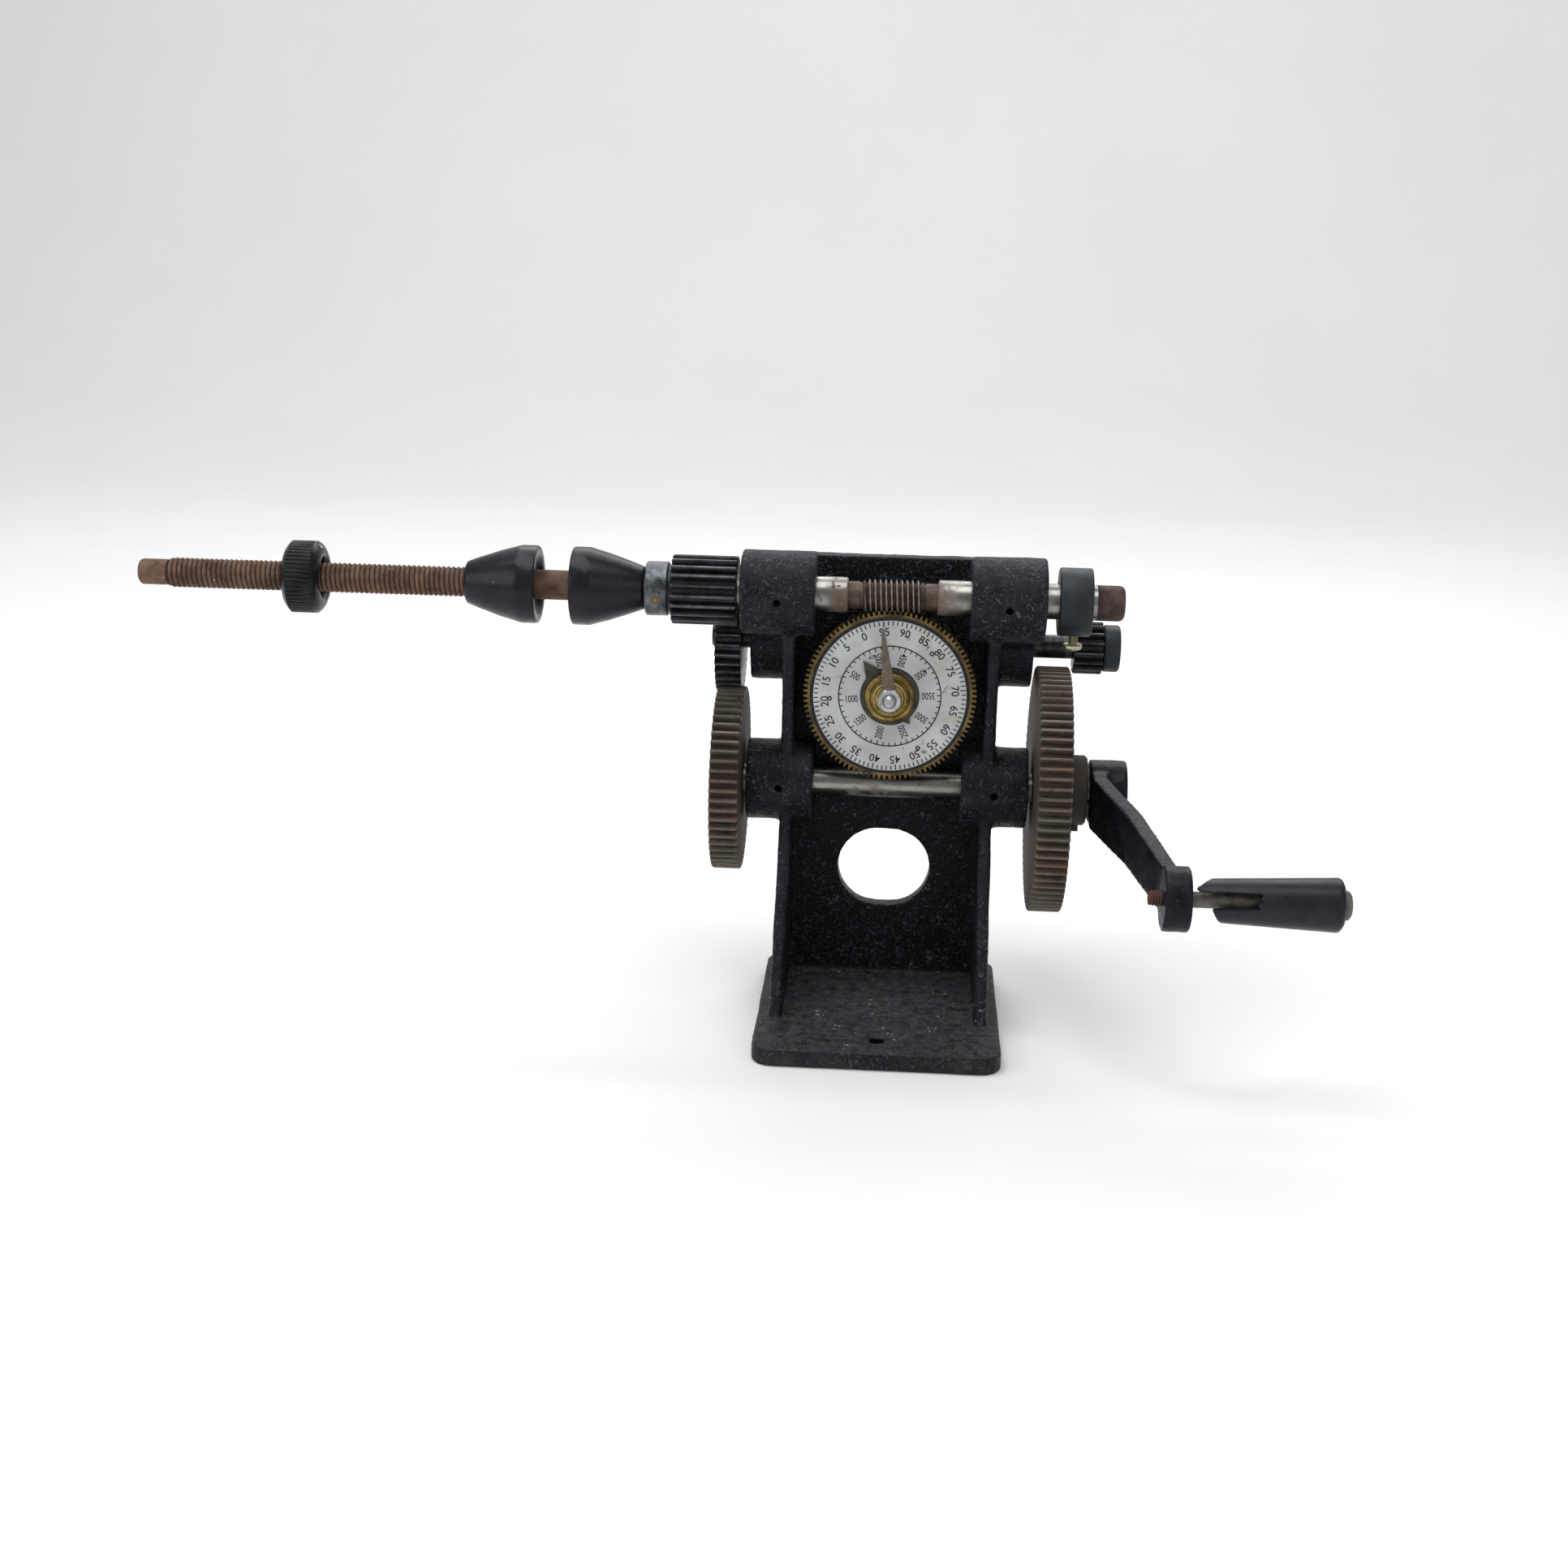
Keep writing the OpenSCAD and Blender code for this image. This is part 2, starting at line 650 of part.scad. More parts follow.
module pinion_set_screw() {
    color(steel_black) radial(hub_left + pinion_hub_len / 2, spindle_y, spindle_z, pinion_screw_dir,
        journal_d / 2 + seat_gap, pinion_hub_d / 2 - 0.6, screw_d);
}

module spindle_collar() {
    color(plastic_black) difference() {
        rod(collar_left, collar_left + collar_w, collar_d, spindle_y, spindle_z);
        rod(collar_left - bite, collar_left + collar_w + bite,
            journal_d + 2 * seat_gap, spindle_y, spindle_z);
        radial(collar_screw_at, spindle_y, spindle_z, 270, journal_d / 4, collar_d, screw_d + 2 * seat_gap);
    }
}

module collar_screw() {
    head_d = 7.6;
    head_t = 2.6;
    shank = 3;
    head_from = collar_d / 2 + shank;
    color(brass_aged) union() {
        radial(collar_screw_at, spindle_y, spindle_z, 270,
            journal_d / 2 + seat_gap, head_from + bite, screw_d);
        radial(collar_screw_at, spindle_y, spindle_z, 270, head_from, head_from + head_t, head_d);
    }
}

module clamp_nut() {
    chamfer = 1.6;
    dish_d = 21;
    dish = 1.2;
    ridge = 0.6;
    core_d = nut_d - 2 * ridge;
    color(plastic_black) difference() {
        union() {
            along_x(nut_at - nut_w + chamfer, spindle_y, spindle_z)
                linear_extrude(nut_w - 2 * chamfer) ridged_outline(nut_d, nut_ridges, ridge);
            for (s = [0, 1]) along_x(nut_at - nut_w / 2, spindle_y, spindle_z) mirror([0, 0, s])
                translate([0, 0, nut_w / 2 - chamfer - bite])
                    cylinder(d1 = core_d, d2 = core_d - 2 * chamfer, h = chamfer + bite);
        }
        rod(nut_at - nut_w - bite, nut_at + bite, thread_d + 2 * run_gap, spindle_y, spindle_z);
        rod(nut_at - dish, nut_at + bite, dish_d, spindle_y, spindle_z);
    }
}

// Clamping cone: narrow end at x = 0, wide dished end at x = cone_len
module cone_body() {
    bore_r = thread_d / 2 + run_gap;
    dish_r = cone_d / 2 - 4;
    round_r = 1.2;
    dish = 3;
    shoulder_in = 0.6;
    rotate_extrude($fn = 96) polygon([
        [bore_r, 0], [cone_small_d / 2 - round_r, 0], [cone_small_d / 2, round_r],
        [cone_d / 2 - shoulder_in, cone_len - cone_band], [cone_d / 2, cone_len - cone_band + 1],
        [cone_d / 2, cone_len - round_r], [cone_d / 2 - round_r, cone_len],
        [dish_r, cone_len], [dish_r - 2, cone_len - dish], [bore_r, cone_len - dish]]);
}

module cone_left() {
    color(plastic_black) along_x(cone_left_at, spindle_y, spindle_z) cone_body();
}

module cone_right() {
    color(plastic_black) along_x(cone_right_at, spindle_y, spindle_z) mirror([0, 0, 1]) cone_body();
}

module countershaft() {
    left = counter_right - counter_w - shaft_over;
    color(steel_bright) rod(left, knob_right - knob_end - knob_slack, counter_d, counter_y, counter_z);
}

module countershaft_gear() {
    color(steel_black) difference() {
        along_x(counter_right - counter_w, counter_y, counter_z) linear_extrude(counter_w)
            gear_outline(counter_teeth, backlash, counter_dir + 180);
        rod(counter_right - counter_w - bite, counter_right + bite,
            counter_d + 2 * seat_gap, counter_y, counter_z);
    }
}

module countershaft_pinion() {
    color(steel_black) difference() {
        along_x(fast_left, counter_y, counter_z) linear_extrude(fast_w)
            gear_outline(fast_teeth, 2 * backlash, lower_dir);
        rod(fast_left - bite, fast_right + bite, counter_d + 2 * seat_gap, counter_y, counter_z);
    }
}

module shift_knob() {
    edge = 1;
    color(plastic_black) along_x(knob_left, counter_y, counter_z) difference() {
        rotate_extrude($fn = 64) polygon([[0, 0], [knob_d / 2, 0], [knob_d / 2, knob_w - edge],
            [knob_d / 2 - edge, knob_w], [0, knob_w]]);
        translate([0, 0, -bite]) cylinder(d = counter_d + 2 * run_gap, h = knob_w - knob_end + bite);
    }
}

module crank_shaft() {
    color(steel_bright) rod(low_right - low_w - shaft_over, crank_right, shaft_d, lower_y, lower_z);
}

module low_gear() {
    color(steel_rust) difference() {
        along_x(low_right - low_w, lower_y, lower_z) linear_extrude(low_w)
            gear_outline(low_teeth, backlash, low_turn);
        rod(low_right - low_w - bite, low_right + bite, shaft_d + 2 * seat_gap, lower_y, lower_z);
    }
}

module high_gear() {
    color(steel_rust) difference() {
        union() {
            along_x(high_left, lower_y, lower_z) linear_extrude(high_w)
                gear_outline(high_teeth, backlash, lower_dir + 180 + 180 / high_teeth);
            rod(high_right - bite, high_hub_right, high_hub_d, lower_y, lower_z);
        }
        rod(high_left - bite, high_hub_right + bite, shaft_d + 2 * seat_gap, lower_y, lower_z);
        radial(high_right + high_hub_len / 2, lower_y, lower_z, high_screw_dir,
            shaft_d / 4, high_hub_d, screw_d + 2 * seat_gap);
    }
}

module high_gear_screw() {
    color(steel_rust) radial(high_right + high_hub_len / 2, lower_y, lower_z, high_screw_dir,
        shaft_d / 2 + seat_gap, high_hub_d / 2 + 2.5, screw_d);
}

// Places its children on the crank, with the arm along local Y
module on_crank() {
    translate([0, lower_y, lower_z]) rotate([crank_dir, 0, 0]) children();
}

module crank_arm() {
    hub_h = 23;
    end_h = 17;
    arm_t = 6.4;
    root_at = crank_hub_d / 2 + 1.8;
    root_left = crank_left + 0.3;
    bend_at = reach_lower - knob_d / 2 - 1.2;
    bend_left = knob_right + 0.8;
    tip_at = crank_r - 3;
    tip_left = end_left + 1;
    color(iron_black) difference() {
        on_crank() union() {
            rod(crank_left, crank_right, crank_hub_d, 0, 0);
            rod(end_left, end_right, crank_end_d, crank_r, 0);
            // The plan bends outward short of the shift knob; the side view tapers
            intersection() {
                translate([0, 0, -hub_h]) linear_extrude(2 * hub_h) polygon([
                    [root_left, -2], [root_left + arm_t, -2], [root_left + arm_t, root_at - 3],
                    [bend_left + arm_t, bend_at - 3], [tip_left + arm_t, tip_at], [tip_left, tip_at],
                    [bend_left, bend_at], [root_left, root_at]]);
                translate([crank_left - bite, 0, 0]) rotate([90, 0, 90])
                    linear_extrude(end_right - crank_left + 2 * bite) polygon([
                        [-3, -hub_h / 2], [crank_r, -end_h / 2], [crank_r, end_h / 2], [-3, hub_h / 2]]);
            }
        }
        on_crank() rod(crank_left - bite, crank_right + bite, shaft_d + 2 * seat_gap, 0, 0);
        on_crank() rod(end_left - pin_over, end_right + bite, pin_d + 2 * seat_gap, crank_r, 0);
        radial(crank_pin_at, lower_y, lower_z, crank_pin_dir,
            shaft_d / 4, crank_hub_d, screw_d + 2 * seat_gap);
    }
}

module crank_pin() {
    color(steel_bright) radial(crank_pin_at, lower_y, lower_z, crank_pin_dir,
        shaft_d / 2 + seat_gap, crank_hub_d / 2 + 0.3, screw_d);
}

module handle_pin() {
    color(steel_rust) on_crank()
        rod(end_left - pin_over, grip_right + slip_gap + pin_head_t, pin_d, crank_r, 0);
}

module handle_pin_head() {
    color(steel_rust) on_crank() along_x(grip_right + slip_gap, crank_r, 0) difference() {
        cylinder(d1 = pin_head_d, d2 = pin_head_d - 1.6, h = pin_head_t);
        translate([0, 0, -bite]) cylinder(d = pin_d + 2 * seat_gap, h = pin_head_t + 2 * bite);
    }
}

// Tapered grip whose inner end is broken away towards the operator
module handle_grip() {
    bore_r = pin_d / 2 + run_gap;
    edge = 2.2;
    small_edge = 0.8;
    break_turn = -26;
    color(plastic_black) on_crank() difference() {
        along_x(grip_left, crank_r, 0) rotate_extrude($fn = 64) polygon([
            [bore_r, 0], [grip_small_d / 2 - small_edge, 0], [grip_small_d / 2, small_edge],
            [grip_d / 2, grip_len - edge], [grip_d / 2 - small_edge, grip_len - small_edge],
            [grip_d / 2 - edge, grip_len], [bore_r, grip_len]]);
        // ragged break, as shares of its length and of the grip's small diameter, seen from the operator
        translate([grip_left, crank_r, 0]) rotate([break_turn - 90, 0, 0]) linear_extrude(grip_d) polygon([
            [-bite, -grip_d], [-bite, grip_small_d * 0.2],
            for (p = [[0.3, 0.24], [0.6, 0.19], [0.92, 0.24], [1, 0.12], [0.93, 0], [1.02, -0.1],
                      [0.94, -0.2], [0.5, -0.22], [0.25, -0.25], [0.42, -0.6]])
                [break_len * p[0], grip_small_d * p[1]],
            [break_len * 0.42, -grip_d]]);
    }
}

frame_casting();
counter_stud();
stud_washer();
long_pointer();
stud_nut();
rear_counter_wheel();
counter_hub();
short_pointer();
front_counter_wheel();
dial_plate();
dial_rivets();
spindle();
worm();
spindle_pinion();
pinion_set_screw();
spindle_collar();
collar_screw();
clamp_nut();
cone_left();
cone_right();
countershaft();
countershaft_gear();
countershaft_pinion();
shift_knob();
crank_shaft();
low_gear();
high_gear();
high_gear_screw();
crank_arm();
crank_pin();
handle_pin();
handle_pin_head();
handle_grip();
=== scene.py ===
import math

import bmesh
import bpy
from mathutils import Matrix, Vector, noise


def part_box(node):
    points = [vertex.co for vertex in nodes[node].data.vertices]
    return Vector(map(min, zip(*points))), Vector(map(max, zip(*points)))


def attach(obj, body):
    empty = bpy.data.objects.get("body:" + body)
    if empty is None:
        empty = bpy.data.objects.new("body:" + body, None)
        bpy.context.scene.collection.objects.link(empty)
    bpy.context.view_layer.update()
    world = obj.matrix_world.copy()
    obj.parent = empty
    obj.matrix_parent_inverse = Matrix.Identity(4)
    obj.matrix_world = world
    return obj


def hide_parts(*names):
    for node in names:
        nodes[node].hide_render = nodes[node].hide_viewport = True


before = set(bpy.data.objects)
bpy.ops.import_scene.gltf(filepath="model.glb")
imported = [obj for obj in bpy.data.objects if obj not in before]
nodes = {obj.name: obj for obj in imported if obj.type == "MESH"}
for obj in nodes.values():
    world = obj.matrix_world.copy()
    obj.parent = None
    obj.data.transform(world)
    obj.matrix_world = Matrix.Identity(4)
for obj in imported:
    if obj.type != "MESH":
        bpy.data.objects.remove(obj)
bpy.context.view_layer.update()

mm = 0.001


def middle(node):
    low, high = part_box(node)
    return (low + high) / 2


# left and right end of a node on a shaft
def ends(node):
    low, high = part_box(node)
    return low.x, high.x


# back and front of a node on the counter's stud, measured towards the operator
def depths(node):
    low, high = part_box(node)
    return -high.y, -low.y


# local z runs along the shaft, local x to the rear, local y up
def onShaft(y, z):
    return Matrix(((0, 0, 1, 0), (1, 0, 0, y), (0, 1, 0, z), (0, 0, 0, 1)))


# the turning lines, taken from round pieces that sit on them
spindleAxis, counterAxis = middle("cone_left").yz, middle("shift_knob").yz
crankAxis = middle("crank_shaft").yz
spindleLine, counterLine = onShaft(*spindleAxis), onShaft(*counterAxis)
crankLine, pinLine = onShaft(*crankAxis), onShaft(*middle("handle_pin").yz)
# local z runs towards the operator, local x to the right, local y up
studLine = Matrix(((1, 0, 0, 0), (0, 0, -1, 0), (0, 1, 0, middle("stud_washer").z), (0, 0, 0, 1)))
print("frame loaded:", len(nodes), "nodes")


def configure(thing, **settings):
    for key, value in settings.items():
        setattr(thing, key, value)
    return thing


def linked(name, data):
    made = bpy.data.objects.new(name, data)
    bpy.context.scene.collection.objects.link(made)
    return made


# shader tools

def put(tree, kind, **settings):
    return configure(tree.nodes.new("ShaderNode" + kind), **settings)


def grain(tree, coords, scale, detail=5, rough=0.6, shift=0.0, twist=0.0):
    made = put(tree, "TexNoise")
    made.inputs["Scale"].default_value = scale
    made.inputs["Detail"].default_value = detail
    made.inputs["Roughness"].default_value = rough
    made.inputs["Distortion"].default_value = twist
    moved = put(tree, "Mapping")
    moved.inputs["Location"].default_value = (shift, 0.7 * shift, 0.3 * shift)
    tree.links.new(coords, moved.inputs["Vector"])
    tree.links.new(moved.outputs["Vector"], made.inputs["Vector"])
    return made.outputs["Fac"]


def between(tree, value, low, high, outLow=0.0, outHigh=1.0):
    made = put(tree, "MapRange", interpolation_type="SMOOTHSTEP")
    tree.links.new(value, made.inputs["Value"])
    for key, number in (("From Min", low), ("From Max", high), ("To Min", outLow), ("To Max", outHigh)):
        made.inputs[key].default_value = number
    return made.outputs["Result"]


def sums(tree, operation, first, second=0):
    made = put(tree, "Math", operation=operation)
    for slot, value in enumerate((first, second)):
        if isinstance(value, (int, float)):
            made.inputs[slot].default_value = value
        else:
            tree.links.new(value, made.inputs[slot])
    return made.outputs[0]


def times(tree, first, second):
    return sums(tree, "MULTIPLY", first, second)


def tint(tree, factor, first, second):
    made = put(tree, "Mix", data_type="RGBA")
    tree.links.new(factor, made.inputs[0])
    for slot, value in ((6, first), (7, second)):
        if isinstance(value, tuple):
            made.inputs[slot].default_value = (*value, 1)
        else:
            tree.links.new(value, made.inputs[slot])
    return made.outputs[2]


def towards(tree, factor, value, number):
    made = put(tree, "Mix", data_type="FLOAT")
    tree.links.new(factor, made.inputs[0])
    tree.links.new(value, made.inputs[2])
    made.inputs[3].default_value = number
    return made.outputs[0]


def partOf(tree, vector, axis):
    split = put(tree, "SeparateXYZ")
    tree.links.new(vector, split.inputs[0])
    return split.outputs[axis]


# distance from a line along the spindle's direction
def fromAxis(tree, coords, y, z):
    dy = sums(tree, "SUBTRACT", partOf(tree, coords, "Y"), y)
    dz = sums(tree, "SUBTRACT", partOf(tree, coords, "Z"), z)
    return sums(tree, "SQRT", sums(tree, "ADD", times(tree, dy, dy), times(tree, dz, dz)))


# depth in mm
def bump(tree, height, depth, under=None):
    made = put(tree, "Bump")
    made.inputs["Strength"].default_value = 1.0
    made.inputs["Distance"].default_value = depth * mm
    tree.links.new(height, made.inputs["Height"])
    if under is not None:
        tree.links.new(under, made.inputs["Normal"])
    return made.outputs["Normal"]


# A patch of another colour over a finish. It can keep near a shaft's line (axis, reach), to a stretch of
# one direction (along), to the frame's middle (spread) or to faces that look one way (facing).
# Where it is dull it hides the metal.
def patch(scale, span, colour, rough, **where):
    return {"scale": scale, "span": span, "colour": colour, "rough": rough, **where}


def patchMask(tree, coords, spot, place):
    cloud = grain(tree, coords, spot["scale"], detail=7, rough=0.66, shift=5.3 + 2.7 * place)
    limits = [(cloud, spot["span"])]
    if "axis" in spot:
        limits.append((fromAxis(tree, coords, *spot["axis"]), spot["reach"]))
    if "along" in spot:
        way, *span = spot["along"]
        limits.append((partOf(tree, coords, way), span))
    if "spread" in spot:
        limits.append((sums(tree, "ABSOLUTE", partOf(tree, coords, "X")), spot["spread"]))
    if "facing" in spot:
        way, *span = spot["facing"]
        limits.append((partOf(tree, put(tree, "NewGeometry").outputs["Normal"], way), span))
    mask = None
    for value, span in limits:
        part = between(tree, value, *span)
        mask = part if mask is None else times(tree, mask, part)
    return mask


# fine rings left by the lathe, kept in places only
def turnMask(tree, coords, marks):
    waves = times(tree, fromAxis(tree, coords, *marks["axis"]), 2 * math.pi / marks["step"])
    kept = between(tree, grain(tree, coords, marks["scale"], shift=6.1), 0.42, 0.66, 0.0, marks["show"])
    return times(tree, between(tree, sums(tree, "SINE", waves), -1.0, 1.0), kept)


def speckMask(tree, coords, specks):
    cells = put(tree, "TexVoronoi")
    cells.inputs["Scale"].default_value = specks["scale"]
    tree.links.new(coords, cells.inputs["Vector"])
    near = between(tree, cells.outputs["Distance"], specks["size"], specks["size"] * 0.6)
    cloud = grain(tree, coords, specks["scale"] * 0.21, shift=9.0)
    mask = times(tree, near, between(tree, cloud, specks["rare"], specks["rare"] + 0.04))
    if "low" in specks:  # only near the base
        mask = times(tree, mask, between(tree, partOf(tree, coords, "Z"), *specks["low"]))
    return mask


# One finish from its dictionary: two tones, patches laid over them, marks, specks, folds, gloss and relief
def finish(name, look):
    mat = bpy.data.materials.new(name)
    mat.use_nodes = True
    tree = mat.node_tree
    shader = tree.nodes["Principled BSDF"]
    coords = put(tree, "TexCoord").outputs["Object"]
    toneCoords = coords
    if "stretch" in look:
        scaled = put(tree, "Mapping")
        scaled.inputs["Scale"].default_value = look["stretch"]
        tree.links.new(coords, scaled.inputs["Vector"])
        toneCoords = scaled.outputs["Vector"]
    tones = between(tree, grain(tree, toneCoords, look["grain"]), 0.32, 0.68)
    colour = tint(tree, tones, look["dark"], look["light"])
    fine = grain(tree, toneCoords, look["grain"] * 2.3, shift=3.1)
    rough = between(tree, fine, 0.3, 0.7, *look["rough"])
    metal, bareMetal = None, look.get("metal", 0.0)
    for place, spot in enumerate(look.get("patches", ())):
        mask = patchMask(tree, coords, spot, place)
        colour = tint(tree, mask, colour, spot["colour"])
        rough = towards(tree, mask, rough, spot["rough"])
        if spot.get("dull"):
            bare = between(tree, mask, 0, 1, bareMetal, bareMetal * 0.15)
            metal = bare if metal is None else sums(tree, "MINIMUM", metal, bare)
    for key, maskOf in (("turnMarks", turnMask), ("specks", speckMask)):
        if key in look:
            colour = tint(tree, maskOf(tree, coords, look[key]), colour, look[key]["colour"])
    relief = None
    if "folds" in look:  # worm-like folds, along the lines where a twisted noise crosses its middle
        folds = look["folds"]
        wave = grain(tree, coords, folds["scale"], detail=1, shift=1.9, twist=folds["twist"])
        crest = between(tree, sums(tree, "ABSOLUTE", sums(tree, "SUBTRACT", wave, 0.5)), folds["width"], 0.0)
        # the crests' lighter colour is a painted highlight
        colour = tint(tree, crest, colour, folds["colour"])
        rough = towards(tree, crest, rough, folds["rough"])
        relief = bump(tree, crest, folds["depth"])
    for scale, depth, *twist in look.get("relief", ()):
        height = grain(tree, toneCoords, scale, 2, 0.6, scale * 0.01, *twist)
        relief = bump(tree, height, depth, relief)
    tree.links.new(colour, shader.inputs["Base Color"])
    tree.links.new(rough, shader.inputs["Roughness"])
    if metal is None:
        shader.inputs["Metallic"].default_value = bareMetal
    else:
        tree.links.new(metal, shader.inputs["Metallic"])
    shader.inputs["Specular IOR Level"].default_value = look.get("gloss", 0.5)
    if relief is not None:
        tree.links.new(relief, shader.inputs["Normal"])
    return mat


# finishes of the castings

wrinklePaint = finish("wrinkle_paint", {
    "dark": (0.003, 0.0033, 0.004), "light": (0.011, 0.0124, 0.0158), "grain": 150, "gloss": 0.17,
    "rough": (0.4, 0.58), "relief": ((1500, 0.1, 0.4),),
    "folds": {"scale": 300, "twist": 1.8, "width": 0.06, "depth": 0.75,
              # the folds' crest colour is a painted highlight
              "colour": (0.07, 0.077, 0.096), "rough": 0.24},
    "patches": (
        patch(45, (0.52, 0.76), (0.019, 0.022, 0.03), 0.4),
        # painted shade makes the front faces of the recessed web blacker; dusty on top of the base, browned
        # along the base's lower edge
        patch(60, (0.0, 0.25), (0.0022, 0.0023, 0.0028), 0.55,
              facing=("Y", -0.4, -0.9), along=("Y", 0.03, 0.0355)),
        patch(230, (0.3, 0.64), (0.062, 0.062, 0.064), 0.7,
              facing=("Z", 0.5, 0.95), along=("Z", 0.012, 0.009)),
        patch(75, (0.45, 0.68), (0.058, 0.042, 0.031), 0.85, along=("Z", 0.0075, 0.003)),
    ),
    "specks": {"scale": 420, "size": 0.24, "rare": 0.57, "colour": (0.46, 0.46, 0.44),
               "low": (0.02, 0.008)},
})

# near-black and nearly glossless inside the bolt holes: painted shade for the deep holes
boreShade = finish("bore_painted_shade", {
    "dark": (0.001, 0.001, 0.0011), "light": (0.0022, 0.0021, 0.002), "grain": 300, "gloss": 0.04,
    "rough": (0.7, 0.9), "relief": ((900, 0.05),),
})

crankPaint = finish("crank_paint", {
    "dark": (0.003, 0.0036, 0.0058), "light": (0.0085, 0.0102, 0.0162), "grain": 170, "gloss": 0.15,
    "rough": (0.3, 0.46), "relief": ((300, 0.25, 0.8), (1300, 0.05)),
    "patches": (
        patch(60, (0.54, 0.72), (0.017, 0.021, 0.033), 0.36),
        patch(130, (0.63, 0.69), (0.075, 0.045, 0.032), 0.85),
    ),
    "specks": {"scale": 380, "size": 0.2, "rare": 0.6, "colour": (0.15, 0.15, 0.15)},
})


# finishes of shafts and screws

# the thread's grooves are darker; the plain lengths of the same bar are not
def screwFinish(name, dark, light, bloom, grooves=()):
    return finish(name, {
        "dark": dark, "light": light, "grain": 170, "metal": 0.15, "gloss": 0.3,
        "rough": (0.62, 0.86), "relief": ((900, 0.12),),
        "patches": (
            patch(55, (0.52, 0.72), bloom, 0.75),
            patch(160, (0.57, 0.7), (0.048, 0.028, 0.02), 0.8),
            *grooves,
        ),
        "specks": {"scale": 300, "size": 0.14, "rare": 0.6, "colour": (0.36, 0.33, 0.3)},
    })


rustTones = ((0.08, 0.045, 0.03), (0.17, 0.102, 0.072), (0.2, 0.1, 0.06))
rustedScrew = screwFinish("rusted_screw", *rustTones, [
    patch(90, (0.0, 0.1), (0.032, 0.02, 0.014), 0.9, axis=spindleAxis, reach=(5.7 * mm, 5.2 * mm))])
rustedBar = screwFinish("rusted_bar", *rustTones)
rustedStub = screwFinish("rusted_stub", (0.038, 0.024, 0.02), (0.092, 0.06, 0.05), (0.13, 0.078, 0.062))

groundShaft = finish("ground_shaft", {
    "dark": (0.2, 0.19, 0.175), "light": (0.34, 0.33, 0.31), "grain": 45,
    "stretch": (2, 1, 1), "metal": 1.0, "rough": (0.24, 0.36), "relief": ((700, 0.015),),
    "patches": (
        patch(70, (0.4, 0.58), (0.13, 0.082, 0.055), 0.62, dull=True, spread=(0.0285, 0.0205)),
        patch(90, (0.58, 0.68), (0.11, 0.078, 0.056), 0.7, dull=True),
        patch(280, (0.61, 0.69), (0.05, 0.034, 0.026), 0.8, dull=True),
    ),
})

crankSteel = finish("crank_steel", {
    "dark": (0.17, 0.16, 0.15), "light": (0.34, 0.33, 0.31), "grain": 60,
    "stretch": (0.6, 1, 1), "metal": 1.0, "rough": (0.24, 0.38), "relief": ((700, 0.02),),
    "patches": (
        patch(60, (0.56, 0.72), (0.12, 0.1, 0.08), 0.6, dull=True),
        patch(330, (0.6, 0.67), (0.035, 0.027, 0.021), 0.8, dull=True),
    ),
})

# the worm: rust in the gaps, bright lines along the crest
wormSteel = finish("worm_steel", {
    "dark": (0.045, 0.03, 0.022), "light": (0.12, 0.082, 0.06), "grain": 170, "metal": 0.5,
    "rough": (0.42, 0.62), "relief": ((900, 0.05),),
    "patches": (
        patch(150, (0.15, 0.5), (0.33, 0.3, 0.27), 0.32, axis=spindleAxis,
              reach=(6.1 * mm, 6.55 * mm)),
        patch(90, (0.0, 0.1), (0.016, 0.012, 0.01), 0.8,
              axis=spindleAxis, reach=(5.7 * mm, 5.2 * mm), along=("X", -0.02, -0.021)),
    ),
})

darkShaft = finish("dark_shaft", {
    "dark": (0.022, 0.023, 0.025), "light": (0.075, 0.077, 0.08), "grain": 110, "stretch": (4, 1, 1),
    "metal": 0.8, "rough": (0.3, 0.46), "relief": ((800, 0.03),),
    "patches": (patch(170, (0.6, 0.7), (0.075, 0.048, 0.034), 0.7, dull=True),),
})

pinSteel = finish("pin_steel", {
    "dark": (0.085, 0.076, 0.066), "light": (0.18, 0.168, 0.15), "grain": 150,
    "metal": 0.35, "gloss": 0.4, "rough": (0.46, 0.68), "relief": ((900, 0.06),),
    "patches": (
        patch(140, (0.58, 0.7), (0.085, 0.055, 0.038), 0.8),
        patch(90, (0.1, 0.3), (0.11, 0.052, 0.034), 0.85, along=("X", 0.1035, 0.1015)),
    ),
})


# finishes of gears

# big gears: brown in the gaps, rubbed paler on the tooth tops
def gearFinish(name, axis, root, tip):
    height = tip - root
    return finish(name, {
        "dark": (0.056, 0.045, 0.034), "light": (0.108, 0.089, 0.068), "grain": 120, "metal": 0.35,
        "gloss": 0.4, "rough": (0.4, 0.6), "relief": ((700, 0.05),),
        "turnMarks": {"axis": axis, "step": 1.3 * mm, "scale": 42, "show": 0.34,
                      "colour": (0.165, 0.14, 0.112)},
        "patches": (
            patch(38, (0.46, 0.64), (0.112, 0.06, 0.036), 0.7, dull=True),
            patch(60, (0.1, 0.55), (0.036, 0.027, 0.021), 0.5, axis=axis, reach=(22 * mm, 13 * mm)),
            patch(90, (0.25, 0.65), (0.132, 0.11, 0.086), 0.4, axis=axis,
                  reach=(root + 0.6 * height, tip)),
            patch(120, (0.0, 0.35), (0.044, 0.032, 0.023), 0.75, dull=True, axis=axis,
                  reach=(root + 0.3 * height, root)),
            patch(240, (0.62, 0.69), (0.035, 0.022, 0.016), 0.8, dull=True),
        ),
    })


